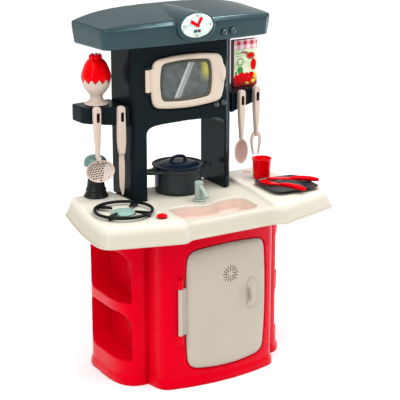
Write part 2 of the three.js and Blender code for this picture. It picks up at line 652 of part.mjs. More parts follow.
// The part that all four share: a thick handle with a hanging slot, tapering to a neck.
function utensilHandle (half) {
  const top = along(curve([10.5, 752], [9.5, HANDLE_TOP_Z], [2, HANDLE_TOP_Z]), 4)
  const body = solid(cushioned(mirrored([...half, ...top]), [-HANDLE_DEPTH / 2, HANDLE_DEPTH / 2], 3, 1))
  return cut(body, alongY(slot, [-30, 30]))
}

const place = (manifold, { x, y }) => solid(geometryOf(manifold).translate(x, y, 0))

const BOWL_TILT = 0.26          // the skimmer's bowl faces forwards and slightly up

function skimmer () {
  const handle = utensilHandle(at([3.5, 618], [4.5, 640], [9, 655], [9.5, 700], [10.5, 735]))
  const bowlShape = [
    [0, 0], [16, 1.2], [29, 4.6], [38, 10], [41, 13], [40, 15.5], [36, 12.2], [28, 7.2], [15, 3.8], [0, 2.6]
  ]
  const bowl = new THREE.LatheGeometry(bowlShape.map(q => vector(...q)), 20)
  bowl.scale(1.06, 1, 0.74).rotateX(Math.PI - BOWL_TILT).translate(-3, -6, 584)
  return place(join(handle, solid(bowl), box([-3.6, 3.6], [-15, 2], [609, 625])), UTENSILS.skimmer)
}

function kitchenKnife () {
  const handle = utensilHandle(at([7, 628], [9, 640], [10.5, 665], [10, 700], [10.5, 735]))
  const blade = at(
    [-6.5, 632], [-9.5, 622], [-9, 560], [-5, 522], [0, 510], [4, 514], [8.5, 545], [9, 600], [7, 632]
  )
  const tang = solid(cushioned(blade.slice().reverse(), [-2.5, 2.5], 1, 1))
  return place(join(handle, tang), UTENSILS.kitchen_knife)
}

function servingSpoon () {
  const handle = utensilHandle(at([3.5, 622], [4.5, 640], [8.5, 655], [9.5, 700], [10.5, 735]))
  const bowl = new THREE.SphereGeometry(1, 14, 8).scale(22, 10, 36).translate(0, -2, 583)
  const inside = new THREE.SphereGeometry(1, 14, 8).scale(19.5, 9, 33).translate(0, -5, 583)
  const shaved = cut(solid(bowl), box([-30, 30], [-20, -3], [500, 660]), solid(inside))
  return place(join(handle, shaved, box([-3.4, 3.4], [-3, 3], [612, 630])), UTENSILS.serving_spoon)
}

function carvingFork () {
  const handle = utensilHandle(at([3.5, 622], [4.5, 640], [8.5, 655], [9.5, 700], [10.5, 735]))
  const points = mirrored(at(
    [3.5, 634], [8, 628], [18, 618], [19.5, 608], [16.5, 585], [11.6, 558], [9, 556], [7.2, 558], [10, 606],
    [6, 613]
  )).reverse()
  const prongs = solid(cushioned(points, [-2.5, 2.5], 1, 1))
  return place(join(handle, prongs), UTENSILS.carving_fork)
}

// ---------------------------------------------------------------- pot, mill, egg, cup, plate

function pot () {
  const { radius: r, height: h } = POT
  const profile = [
    [0, 0.4], [r - 6, 0.4], [r - 2, 3], [r, 9], [r, h - 13], [r + 4, h - 11], [r + 4.5, h - 1], [r + 4, h],
    [r - 3, h], [r - 4, 12], [r - 10, 5], [0, 4.4]
  ]
  const body = turned(profile, { x: POT.x, y: POT.y, z: DECK_Z, sides: 22 })
  const ears = [-1, 1].map(side => {
    const ear = roundedRectangle([-20, 20], [0, 40], [14, 14, 2, 2], 4)
    const hole = roundedRectangle([-11, 11], [14, 30], [7, 7, 3, 3], 3)
    const move = points => points.map(p => vector(POT.x + side * (r - 1 + p.y), POT.y - side * p.x))
    const z = [DECK_Z + h - 14, DECK_Z + h - 6]
    const lug = prism(move(ear), z.map(level => [level, 0]))
    return cut(lug, prism(move(hole), [[z[0] - 5, 0], [z[1] + 5, 0]]))
  })
  const inside = upright(r - 4.5, POT.x, POT.y, [DECK_Z + 14, DECK_Z + h + 5], 22)
  return cut(join(body, ...ears), inside)
}

function potLid () {
  const r = POT.radius
  const profile = [
    [0, 1], [r - 6, -3.6], [r - 5, -3.6], [r - 5, 0.5], [r + 7, 0.5], [r + 8, 2], [r + 6, 4.4],
    [r + 1, 4], [r - 4, 2.6], [r - 12, 3.2], [r - 24, 7], [20, 10.5], [0, 11.5]
  ]
  const z = DECK_Z + POT.height + 0.1
  const dome = turned(profile, { x: POT.x, y: POT.y, z, sides: 22 })
  const path = [[-24, 7], [-21, 20], [0, 25], [21, 20], [24, 7]]
    .map(([x, rise]) => [POT.x + x, POT.y, z + rise])
  const loop = tube(path, 4.2, 8, 10)
  return join(dome, loop)
}

function millBody () {
  const profile = [
    [0, 0.4], [33, 0.4], [34, 3], [30, 12], [27.5, 16], [28.5, 21], [25, 30], [22, 60], [23, 84], [0, 84]
  ]
  return turned(profile, { ...MILL, z: WING_Z, sides: 20 })
}

function millTop () {
  const profile = [[0, 84.4], [24, 84.4], [31, 89], [33, 96], [30, 106], [22, 113], [10, 117], [0, 118]]
  return turned(profile, { ...MILL, z: WING_Z, sides: 20 })
}

function eggCup () {
  const profile = [
    [0, 0.4], [32, 0.4], [33.5, 2.5], [31, 5], [21, 12], [18, 20], [18.5, 27], [24, 36], [32, 47],
    [37.5, 58], [39.8, 67.6], [37.4, 67.6], [34.8, 58], [29.5, 49], [21, 40], [12, 36], [0, 35]
  ]
  return turned(profile, { ...EGG, z: SHELF_Z, sides: 20 })
}

function eggTop () {
  const profile = [
    [0, 37.5], [11, 38.4], [20, 42], [28, 50.5], [33.4, 59], [36.6, 68], [40.6, 68.4], [41, 75], [40, 84],
    [37.5, 93], [33.5, 105], [28.5, 115.5], [22, 123.5], [15, 128], [15.5, 131], [18, 137], [11, 139], [0, 139.5]
  ]
  return turned(profile, { ...EGG, z: SHELF_Z, sides: 20 })
}

const foodBox = () => box(FOOD_BOX.x, FOOD_BOX.y, [SHELF_Z + GAP, SHELF_Z + FOOD_BOX.height])

function cup () {
  const h = CUP.height
  const profile = [
    [0, 0.4], [22.6, 0.4], [24, 2], [28, h - 3], [29.2, h - 2], [29.2, h], [26.6, h], [22, 4], [0, 3]
  ]
  return turned(profile, { ...CUP, z: WING_Z, sides: 20 })
}

const plateLocal = (x, y) => {
  const p = vector(x, y).rotateAround(vector(0, 0), PLATE.turn)
  return [PLATE.x + p.x, PLATE.y + p.y]
}

function plate () {
  const half = PLATE.size / 2
  const outline = roundedRectangle([-half, half], [-half, half], [38, 38, 38, 38], 5)
    .map(p => vector(...plateLocal(p.x, p.y)))
  const z = WING_Z
  const outer = prism(outline, [[z + GAP, 24], [z + 3, 20], [z + 9, 2], [z + 11, 0]])
  const inner = prism(outline, [[z + 3, 25], [z + 5, 21], [z + 9.5, 3], [z + 12, 1.5]])
  return cut(outer, inner)
}

// Cutlery rests across the plate rim: a flat outline, listed along +X and bent sideways by sweep, with a
// thick oval grip, turned and carried to its place.
function cutlery (half, { from, to, sweep = 0, grip }) {
  const bend = x => sweep * (1 - ((x - 75) / 75) ** 2)
  const flat = [...half, ...half.slice().reverse().map(p => vector(p.x, -p.y))]
  const blade = extrude(flat.map(p => vector(p.x, p.y + bend(p.x))), 3, {
    bevelEnabled: true, bevelThickness: 1, bevelSize: 1, bevelOffset: -1, bevelSegments: 1
  })
  const handle = new THREE.SphereGeometry(1, 14, 10)
  handle.scale(grip.length / 2, grip.width / 2, grip.depth / 2)
  handle.rotateZ(-2 * sweep * (grip.x - 75) / 75 ** 2)
  handle.translate(grip.x, bend(grip.x), grip.depth / 2 - 1)
  return join(...[blade, handle].map(part => {
    part.rotateZ(Math.atan2(to[1] - from[1], to[0] - from[0]))
    return solid(part.translate(from[0], from[1], WING_Z + 11 + 1 + GAP))
  }))
}

const tableKnife = () => cutlery(
  at([0, -2], [8, -7], [30, -9], [66, -9], [70, -6.5], [100, -8], [140, -7], [149, -3]),
  { from: [236, 12], to: [352, -84], sweep: 7, grip: { x: 108, length: 86, width: 20, depth: 13 } }
)

function tableFork () {
  const outline = at([0, -11], [30, -11.5], [42, -9], [52, -4.5], [90, -6], [135, -7], [145, -3])
  const body = cutlery(outline, {
    from: [206, -6], to: [262, -136], grip: { x: 103, length: 88, width: 19, depth: 12.5 }
  })
  const gaps = [-5.4, 0, 5.4].map(offset => {
    const slit = new THREE.BoxGeometry(36, 2, 20).translate(12, offset, 0)
    return solid(slit.rotateZ(Math.atan2(-130, 56)).translate(206, -6, WING_Z + 14))
  })
  return cut(body, ...gaps)
}

// ---------------------------------------------------------------- assembly

add('base_front_panel', baseFrontPanel(), RED)
const leftTower = shelfTower()
add('left_shelf_tower', leftTower, RED)
add('right_shelf_tower', mirrorX(leftTower), RED)
add('cupboard_floor', cupboardFloor(), RED)
add('rear_brace', rearBrace(), RED)
add('cupboard_door', cupboardDoor(), BEIGE)
add('door_handle', doorHandle(), BEIGE)
add('cupboard_hinge_pin', hingePin(DOOR_HINGE), STEEL)

add('worktop', worktop(), CREAM)
add('tap_base', tapBase(), GREY_GREEN)
add('tap_spout', tapSpout(), GREY_GREEN)
add('hob_grate', hobGrate(), CHARCOAL)
add('burner_cap', burnerCap(), GREY_GREEN)
add('hob_button', hobButton(), RED)

add('upper_panel', upperPanel(), DARK_TEAL)
add('microwave_box', microwaveBox(), CHARCOAL)
add('microwave_door', microwaveDoor(), BEIGE)
add('microwave_window', microwaveWindow(), WINDOW_GREY)
add('microwave_hinge_pin', hingePin(OVEN_HINGE), STEEL)
add('left_shelf', bracketShelf(-1), DARK_TEAL)
add('right_shelf', bracketShelf(1), DARK_TEAL)

add('hood', hood(), TEAL)
add('clock_face', clockFace(), CLOCK_WHITE)
add('clock_pin', clockPin(), STEEL)
add('hour_hand', clockHand(24, 8.4, -58, [CLOCK.y - 1.6, CLOCK.y]), RED)
add('minute_hand', clockHand(25, 7.6, 31, [CLOCK.y - 3.6, CLOCK.y - 2]), RED)
for (const [i, side] of ['left', 'right'].entries()) {
  add(`hood_knob_${side}`, knob(KNOBS.hood[i], HOOD_KNOB_WALL), CHARCOAL)
  add(`oven_knob_${side}`, knob(KNOBS.oven[i], FRONT_WALL_Y), CHARCOAL)
}

add('skimmer', skimmer(), PINK_BEIGE)
add('kitchen_knife', kitchenKnife(), PINK_BEIGE)
add('serving_spoon', servingSpoon(), PINK_BEIGE)
add('carving_fork', carvingFork(), PINK_BEIGE)

add('pot', pot(), CHARCOAL)
add('pot_lid', potLid(), CHARCOAL)
add('mill_body', millBody(), CHARCOAL)
add('mill_top', millTop(), GREY_GREEN)
add('egg_cup', eggCup(), PINK_BEIGE)
add('egg_top', eggTop(), RED)
add('food_box', foodBox(), CARD)
add('cup', cup(), RED)
add('plate', plate(), CHARCOAL)
add('table_knife', tableKnife(), RED)
add('table_fork', tableFork(), RED)

for (const [i, [x, z]] of SCREWS.brace.entries()) {
  add(`brace_screw_${i + 1}`, screw(x, z, BRACE_Y[1] + GAP, 20), STEEL)
}
for (const [i, [x, z]] of SCREWS.hood.entries()) {
  add(`hood_screw_${i + 1}`, screw(x, z, BACK_Y - 3 + GAP, 16), STEEL)
}

export default group
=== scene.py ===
"""Toy play kitchen: the fine visual pieces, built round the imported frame.

Shape code works in millimetres in the frame's own axes (+Z up, -Y the front), and mesh_object() turns them
into metres. Each piece is made from the same driving dimensions as the solid that it stands for.
"""
import math

import bpy
from mathutils import Matrix, Vector


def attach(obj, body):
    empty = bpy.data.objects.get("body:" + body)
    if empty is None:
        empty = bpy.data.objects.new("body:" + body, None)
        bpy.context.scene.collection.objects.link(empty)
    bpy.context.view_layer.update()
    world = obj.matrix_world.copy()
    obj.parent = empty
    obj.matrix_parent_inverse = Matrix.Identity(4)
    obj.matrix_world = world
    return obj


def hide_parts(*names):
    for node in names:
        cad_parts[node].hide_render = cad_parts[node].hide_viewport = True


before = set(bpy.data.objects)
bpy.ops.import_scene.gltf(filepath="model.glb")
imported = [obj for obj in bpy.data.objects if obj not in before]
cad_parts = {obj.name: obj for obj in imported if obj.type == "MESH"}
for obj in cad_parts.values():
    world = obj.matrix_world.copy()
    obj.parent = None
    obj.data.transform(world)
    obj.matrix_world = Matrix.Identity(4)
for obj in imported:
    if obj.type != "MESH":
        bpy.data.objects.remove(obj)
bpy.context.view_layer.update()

# --- driving dimensions, in millimetres

MM = 0.001
GAP, WALL = 0.4, 5
LIP_Z, DECK_Z, WING_Z = 445, 488, 499
BACK_Y, PANEL_FRONT_Y, PANEL_BACK_Y = 201, 62, 195
PANEL_TOP_Z, HOOD_Z, HOOD_TOP_Z = 966, 922, 1013
SHELF_Z, ARCH_Z = 757, 701
ACROSS, OVER = (-400, 400), 600     # past the object's sides, and above the base
PIN_HOLE, SHAFT_HOLE, STUD_HOLE = 1.9, 3.1, 4.4
SCREW_X, SCREW_Z = (-156, 156), 948
COLUMN_INNER_X, COLUMN_OUTER_X = 126, 160
BOW = 0.0008                    # the base front bulges by BOW * x * x
BASE_FRONT_Y, BASE_WALL, SEAM_Y, FRONT_TOP_Z = -136, 14, -48, 446
TOWER_INNER_X, TOWER_SQUARENESS = 184, 0.72
TOWER_TOP_Z = WING_Z - WALL - GAP
POCKETS = [(71, 211), (241, 383)]
SHELF_STOPS = [(-243, 32), (-227, 22)]
DOOR = dict(x=13.5, z=223, width=263, height=356, bulge=9, corner=30)
DOOR_PROUD, DOOR_RECESS = 8, 5
DOOR_HINGE = dict(x=-135.5, y=-129, radius=6.5, pin=2.5, low=158, high=292, reach=20)
VENT = dict(x=15, z=314, slots=16)
HANDLE = dict(x=84, z=243, width=38, height=97, depth=17)
OVEN = dict(x=0, z=815, width=236, height=148, bulge=10, corner=17)
OVEN_DOOR_Y = (48, 61.4)
WINDOW = dict(x=-6.5, z=818, width=164, height=112, bulge=7, corner=8)
OVEN_HINGE = dict(x=-127, y=54.5, radius=6, pin=2, low=796, high=858, reach=7)
HOB = dict(x=-252, y=-31, radius=77, tube=4.5, z=509, prongs=4, turn=0.6, notches=16)
BUTTON = dict(x=-184, y=-118, radius=15)
TAP = dict(x=0, y=-3)
POT = dict(x=2, y=114, radius=67, height=76)
MILL = dict(x=-240, y=151)
CUP = dict(x=252, y=62.5)
CUP_HEIGHT = 61
EGG = dict(x=-229, y=157, teeth=12, tooth_depth=6, lobes=7)
BASIN = dict(half_width=121, front=-142)
DENT = dict(x=252, y=140, radius=14.6)
PLATE = dict(x=262, y=-48, size=148, turn=-0.08, corner=29)
FOOD_BOX = dict(x=(206, 286), y=(143, 161), height=136)
CLOCK = dict(z=969.5, width=118, height=81, y=5, face_z=974, face_width=99, face_height=65)
PEG = dict(radius=3, z=742, length=13)
UTENSILS = dict(skimmer=(-254, 108), kitchen_knife=(-193, 84), serving_spoon=(195, 84.5),
                carving_fork=(263, 110.5))
KNOBS = dict(oven=[(95, 737), (118, 740)], hood=[(98, 944), (126, 946)])
HOOD_KNOB_WALL = (27, 36.5)
FRONT_WALL_Y = (PANEL_FRONT_Y, PANEL_FRONT_Y + 8)
HANDLE_TOP_Z, HANDLE_DEPTH, SLOT_LOW = 762, 17, 719


def bow(x):
    return BOW * x * x


# --- outlines

def bezier(points, count):
    """count + 1 points along a quadratic or cubic curve."""
    line = []
    for i in range(count + 1):
        q = [Vector(p) for p in points]
        while len(q) > 1:
            q = [a.lerp(b, i / count) for a, b in zip(q, q[1:])]
        line.append(tuple(q[0]))
    return line


def mirrored(half):
    return list(half) + [(-x, y) for x, y in reversed(half)]


def inset(points, distance):
    """Every corner of an anticlockwise outline moved inwards by distance."""
    moved = []
    for i, p in enumerate(points):
        here = Vector(p)
        before = (here - Vector(points[i - 1])).normalized()
        after = (Vector(points[(i + 1) % len(points)]) - here).normalized()
        middle = (before + after).normalized()
        reach = distance / max(0.5, middle.dot(after))
        moved.append((here.x - middle.y * reach, here.y + middle.x * reach))
    return moved


def barrel(shape, grow=0, detail=4):
    """A rounded rectangle whose four sides bulge."""
    w, h = shape["width"] / 2 + grow, shape["height"] / 2 + grow
    r, bulge = shape["corner"] + grow / 2, shape["bulge"]
    cx, cz = w - bulge, h - bulge
    side = bezier([(cx + bulge, 0), (cx + bulge, (cz - r) / 2), (cx + bulge / 3, cz - r)], 3 * detail)
    corner = bezier([(cx + bulge / 3, cz - r), (cx, cz), (cx - r, cz + bulge / 3)], 3 * detail)
    top = bezier([(cx - r, cz + bulge / 3), ((cx - r) / 2, cz + bulge), (0, cz + bulge)], 3 * detail)
    quarter = side + corner[1:] + top[1:]
    upper = quarter + [(-x, z) for x, z in reversed(quarter[:-1])]
    lower = [(x, -z) for x, z in reversed(upper[1:-1])]
    return shift(upper + lower, shape["x"], shape["z"])


def ellipse(cx, cz, width, height, sides=64):
    turn = [2 * math.pi * i / sides for i in range(sides)]
    return [(cx + math.cos(a) * width / 2, cz + math.sin(a) * height / 2) for a in turn]


def rounded(x, y, radii, sides=10):
    """A rectangle with one corner radius, or four, anticlockwise from the corner at the high x and high y."""
    line = []
    for quarter, (cx, cy) in enumerate([(x[1], y[1]), (x[0], y[1]), (x[0], y[0]), (x[1], y[0])]):
        r = radii[quarter] if isinstance(radii, tuple) else radii
        ox = cx - r if cx == x[1] else cx + r
        oy = cy - r if cy == y[1] else cy + r
        for i in range(sides + 1):
            a = (quarter + i / sides) * math.pi / 2
            line.append((ox + math.cos(a) * r, oy + math.sin(a) * r))
    return line


def polar(radius, angle, x=0, y=0):
    return x + radius * math.cos(angle), y + radius * math.sin(angle)


def shift(points, x=0, y=0):
    return [(px + x, py + y) for px, py in points]


# --- meshes

def linked(name, data):
    obj = bpy.data.objects.new(name, data)
    bpy.context.scene.collection.objects.link(obj)
    return obj


def mesh_object(verts, faces):
    mesh = bpy.data.meshes.new("shape")
    mesh.from_pydata([Vector(v) * MM for v in verts], [], faces)
    mesh.update()
    return linked("shape", mesh)


def skin(rings, closed_ends=True):
    """A tube of faces through rings of equal length, with flat ends."""
    n = len(rings[0])
    faces = []
    for k in range(len(rings) - 1):
        for i in range(n):
            j = (i + 1) % n
            faces.append((k * n + i, k * n + j, (k + 1) * n + j, (k + 1) * n + i))
    if closed_ends:
        faces.append(tuple(reversed(range(n))))
        faces.append(tuple(range((len(rings) - 1) * n, len(rings) * n)))
    obj = mesh_object([v for ring in rings for v in ring], faces)
    return outwards(obj)


def outwards(obj):
    """Turns the faces of a closed mesh outwards."""
    mesh = obj.data
    mesh.calc_loop_triangles()
    volume = sum(
        mesh.vertices[t.vertices[0]].co.dot(
            mesh.vertices[t.vertices[1]].co.cross(mesh.vertices[t.vertices[2]].co))
        for t in mesh.loop_triangles)
    if volume < 0:
        mesh.flip_normals()
    return obj


def prism(points, levels):
    """An outline in plan carried up through levels of (height, inset)."""
    return skin([[(x, y, z) for x, y in inset(points, d)] for z, d in levels])


def loft_y(points, levels):
    """An outline in the X-Z plane carried along Y through levels of (y, inset)."""
    return skin([[(x, y, z) for x, z in inset(points, d)] for y, d in levels])


def along_y(points, y):
    return loft_y(points, [(y[0], 0), (y[1], 0)])


def along_x(points, x):
    return skin([[(level, y, z) for y, z in points] for level in x])


def rectangle(x, y):
    return [(x[0], y[0]), (x[1], y[0]), (x[1], y[1]), (x[0], y[1])]


def box(x, y, z):
    return prism(rectangle(x, y), [(z[0], 0), (z[1], 0)])


def turned(profile, x=0, y=0, z=0, sides=72, forward=False):
    """A profile of (radius, height) pairs turned about a vertical axis, or about one along -Y."""
    verts, rows = [], []
    for radius, height in profile:
        count = 1 if radius < 1e-6 else sides
        rows.append(list(range(len(verts), len(verts) + count)))
        for i in range(count):
            px, py = polar(radius, 2 * math.pi * i / sides)
            verts.append((x + px, y - height, z + py) if forward else (x + px, y + py, z + height))
    faces = []
    for low, high in zip(rows, rows[1:]):
        for i in range(sides):
            j = (i + 1) % sides
            ring = [low[i % len(low)], low[j % len(low)], high[j % len(high)], high[i % len(high)]]
            face = tuple(dict.fromkeys(ring))
            if len(face) > 2:
                faces.append(face)
    return outwards(mesh_object(verts, faces))


def rod(radius, x, y, z, sides=32):
    return turned([(0, z[0]), (radius, z[0]), (radius, z[1]), (0, z[1])], x=x, y=y, sides=sides)


def forward_rod(radius, x, z, y, sides=32):
    profile = [(0, -y[1]), (radius, -y[1]), (radius, -y[0]), (0, -y[0])]
    return turned(profile, x=x, z=z, sides=sides, forward=True)


def sphere(centre, radii, sides=40):
    half = sides // 2
    profile = [(math.sin(math.pi * i / half), -math.cos(math.pi * i / half)) for i in range(half + 1)]
    obj = turned([(max(r, 0) if 0 < i < half else 0, h) for i, (r, h) in enumerate(profile)], sides=sides)
    obj.data.transform(Matrix.Diagonal((*radii, 1)))
    obj.data.transform(Matrix.Translation(Vector(centre) * MM))
    return obj


def tube(points, radius, sides=20, steps=8):
    """A round bar along a smooth line through points; radius may be a list, one for each point."""
    radii = radius if isinstance(radius, list) else [radius] * len(points)
    p = [Vector(q) for q in points]
    p = [2 * p[0] - p[1], *p, 2 * p[-1] - p[-2]]
    line, sizes = [], []
    for k in range(1, len(p) - 2):
        for i in range(steps + (k == len(p) - 3)):
            t = i / steps
            a, b, c, d = p[k - 1:k + 3]
            line.append(0.5 * ((2 * b) + (c - a) * t + (2 * a - 5 * b + 4 * c - d) * t * t
                               + (3 * b - a - 3 * c + d) * t ** 3))
            sizes.append(radii[k - 1] + (radii[min(k, len(radii) - 1)] - radii[k - 1]) * t)
    rings = []
    normal = (line[1] - line[0]).orthogonal().normalized()
    for i, here in enumerate(line):
        ahead = (line[min(i + 1, len(line) - 1)] - line[max(i - 1, 0)]).normalized()
        normal = (normal - ahead * normal.dot(ahead)).normalized()
        other = ahead.cross(normal)
        turn = [2 * math.pi * s / sides for s in range(sides)]
        rings.append([here + (normal * math.cos(a) + other * math.sin(a)) * sizes[i] for a in turn])
    return skin(rings)


def torus(x, y, z, radius, thick, sides=96, ring=20):
    verts = []
    for i in range(sides):
        for j in range(ring):
            r, rise = polar(thick, 2 * math.pi * j / ring)
            px, py = polar(radius + r, 2 * math.pi * i / sides, x, y)
            verts.append((px, py, z + rise))
    faces = []
    for i in range(sides):
        for j in range(ring):
            a, b = i * ring, ((i + 1) % sides) * ring
            faces.append((a + j, b + j, b + (j + 1) % ring, a + (j + 1) % ring))
    return outwards(mesh_object(verts, faces))


def placed(obj, turn=0, axis="Z", at=(0, 0, 0)):
    """The shape turned about an axis through the origin, then moved."""
    obj.data.transform(Matrix.Rotation(turn, 4, axis))
    obj.data.transform(Matrix.Translation(Vector(at) * MM))
    return obj


def settle(obj):
    """Applies the modifiers."""
    graph = bpy.context.evaluated_depsgraph_get()
    graph.update()
    mesh = bpy.data.meshes.new_from_object(obj.evaluated_get(graph))
    obj.modifiers.clear()
    obj.data = mesh
    return obj


def combine(operation, obj, tools):
    for tool in tools:
        step = obj.modifiers.new(operation, "BOOLEAN")
        step.operation = operation
        step.solver = "MANIFOLD"
        step.object = tool
    settle(obj)
    for tool in tools:
        bpy.data.objects.remove(tool)
    return obj


def join(obj, *tools):
    return combine("UNION", obj, tools)


def cut(obj, *tools):
    return combine("DIFFERENCE", obj, tools)


def meet(obj, *tools):
    return combine("INTERSECT", obj, tools)


def soften(obj, voxel, rounds, keep=1):
    """Moulded edges: remeshed in voxels of that size, smoothed, then thinned to that share of the faces."""
    remesh = obj.modifiers.new("Remesh", "REMESH")
    remesh.mode = "VOXEL"
    remesh.voxel_size = voxel * MM
    remesh.use_smooth_shade = True
    smooth = obj.modifiers.new("Smooth", "SMOOTH")
    smooth.factor = 0.5
    smooth.iterations = rounds
    if keep < 1:
        obj.modifiers.new("Decimate", "DECIMATE").ratio = keep
    return settle(obj)


def copy_of(node):
    """The frame's own solid as a shape to work on."""
    obj = linked("shape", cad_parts[node].data.copy())
    weld = obj.modifiers.new("Weld", "WELD")
    weld.merge_threshold = 1e-6
    return settle(obj)


def flip_x(obj):
    obj.data.transform(Matrix.Scale(-1, 4, (1, 0, 0)))
    obj.data.flip_normals()
    return obj


# --- materials

def linear(r, g, b):
    """Screen values from 0 to 255 as the shader's colour."""
    values = [c / 255 for c in (r, g, b)]
    return (*[c / 12.92 if c <= 0.04045 else ((c + 0.055) / 1.055) ** 2.4 for c in values], 1)


def shade(colour, factor):
    return (*[min(1, c * factor) for c in colour[:3]], 1)


class Finish:
    """A Principled material, with helpers that add nodes to it."""

    def __init__(self, name):
        self.material = bpy.data.materials.new(name)
        self.material.use_nodes = True
        self.tree = self.material.node_tree
        self.shader = self.tree.nodes["Principled BSDF"]
        self.place = self.node("ShaderNodeTexCoord").outputs["Object"]

    def feed(self, socket, value):
        if isinstance(value, bpy.types.NodeSocket):
            self.tree.links.new(value, socket)
        else:
            socket.default_value = value

    def node(self, kind, inputs=None, **settings):
        made = self.tree.nodes.new(kind)
        for key, value in settings.items():
            setattr(made, key, value)
        for key, value in (inputs or {}).items():
            self.feed(made.inputs[key], value)
        return made

    def noise(self, scale, detail=2, where=None):
        inputs = {"Vector": where or self.place, "Scale": scale, "Detail": detail}
        return self.node("ShaderNodeTexNoise", inputs).outputs["Fac"]

    def ramp(self, value, low, high, to_low=0, to_high=1, smooth=False):
        inputs = {"Value": value, "From Min": low, "From Max": high, "To Min": to_low, "To Max": to_high}
        kind = "SMOOTHSTEP" if smooth else "LINEAR"
        return self.node("ShaderNodeMapRange", inputs, interpolation_type=kind).outputs["Result"]

    def maths(self, operation, a, b=0):
        return self.node("ShaderNodeMath", {0: a, 1: b}, operation=operation).outputs[0]

    def plus(self, a, b):
        return self.maths("ADD", a, b)

    def minus(self, a, b):
        return self.maths("SUBTRACT", a, b)

    def times(self, a, b):
        return self.maths("MULTIPLY", a, b)

    def repeat(self, value, pitch):
        return self.maths("FRACT", self.maths("DIVIDE", value, pitch))

    def distance(self, *pairs):
        """How far a point is from a centre, from (coordinate, centre) pairs."""
        squares = [self.maths("POWER", self.minus(value, centre), 2) for value, centre in pairs]
        return self.maths("SQRT", self.plus(*squares))

    def band(self, value, low, high, soft=0.0004):
        """1 between low and high."""
        rise = self.ramp(value, low - soft, low + soft)
        return self.times(rise, self.ramp(value, high - soft, high + soft, 1, 0))

    def mix(self, amount, a, b):
        made = self.node("ShaderNodeMix", data_type="RGBA")
        for socket, value in zip([s for s in made.inputs if s.enabled], (amount, a, b)):
            self.feed(socket, value)
        return next(s for s in made.outputs if s.enabled)

    def coordinates(self):
        split = self.node("ShaderNodeSeparateXYZ", {0: self.place})
        return [split.outputs[axis] for axis in "XYZ"]

    def surface(self, **values):
        """Sets or links the shader's own sockets."""
        for name, value in values.items():
            self.feed(self.shader.inputs[name.replace("_", " ")], value)


# the black serves both the random mottling and the painted shade
WHITE, MOTTLE_AND_SHADE_BLACK, SCUFF = (1, 1, 1, 1), (0, 0, 0, 1), (0.9, 0.88, 0.85, 1)


def plastic(name, colour, roughness=0.35, coat=0.0, mottle=0.05, grain=0.04, wear=0.25, sheen=0.3,
            tint=WHITE, depth=0.42):
    """Moulded plastic: faint flow marks, fine grain, uneven gloss, paler edges, and painted shade that
    darkens hollows and creases by up to depth.
    """
    f = Finish(name)
    flow = f.ramp(f.noise(7, 4), 0.3, 0.7)
    if isinstance(colour, tuple):
        base = linear(*colour)
        body = f.mix(flow, shade(base, 1 - mottle), shade(base, 1 + mottle))
    else:
        body = f.mix(f.times(flow, mottle), colour(f), MOTTLE_AND_SHADE_BLACK)
    point = f.node("ShaderNodeNewGeometry").outputs["Pointiness"]
    edge = f.ramp(point, 0.56, 0.75, 0, wear, smooth=True)
    pale = f.mix(edge, body, SCUFF)
    # painted shade: ambient occlusion darkens hollows, creases and gaps between parts towards black, by up to
    # depth
    open_air = f.node("ShaderNodeAmbientOcclusion", {"Distance": 0.035}, samples=6).outputs["AO"]
    painted_shade = f.ramp(open_air, 0.3, 0.9, depth, 0)
    gloss = f.ramp(f.noise(40, 5), 0.3, 0.7, roughness * 0.82, roughness * 1.18)
    height = f.plus(f.times(f.noise(1400, 2), 0.3), f.noise(26, 2))
    bump = f.node("ShaderNodeBump", {"Height": height, "Strength": grain, "Distance": 0.002})
    f.surface(Base_Color=f.mix(painted_shade, pale, MOTTLE_AND_SHADE_BLACK), Roughness=gloss, Normal=bump.outputs["Normal"])
    f.surface(IOR=1.5, Specular_IOR_Level=sheen, Specular_Tint=tint, Coat_Weight=coat, Coat_Roughness=0.12)
    return f.material


def metal(name, colour, roughness=0.3):
    """Steel wire and screws with fine drawn lines."""
    f = Finish(name)
    stretched = f.node("ShaderNodeMapping", {"Vector": f.place, "Scale": (300, 300, 3000)}).outputs[0]
    lines = f.noise(1, 3, stretched)
    gloss = f.ramp(lines, 0.3, 0.7, roughness - 0.08, roughness + 0.12)
    f.surface(Base_Color=f.mix(lines, shade(colour, 0.8), colour), Roughness=gloss, Metallic=1)
    return f.material


def clock_print(f):
    """White with pale green mottling."""
    cloud = f.ramp(f.noise(70, 3), 0.42, 0.6, smooth=True)
    x, _, z = f.coordinates()
    ring = f.ramp(f.distance((x, 0), (z, CLOCK["face_z"] * MM)), 0.008, 0.03, 0.35, 0.95, smooth=True)
    return f.mix(f.times(cloud, ring), linear(225, 232, 226), linear(168, 202, 190))


# slant and places of the painted reflection streaks on the pane
REFLECTION_LEAN = 0.48
REFLECTION_STREAKS = ((-0.014, -0.0045, 0.42), (-0.0025, 0.0045, 0.3), (0.007, 0.0085, 0.2))


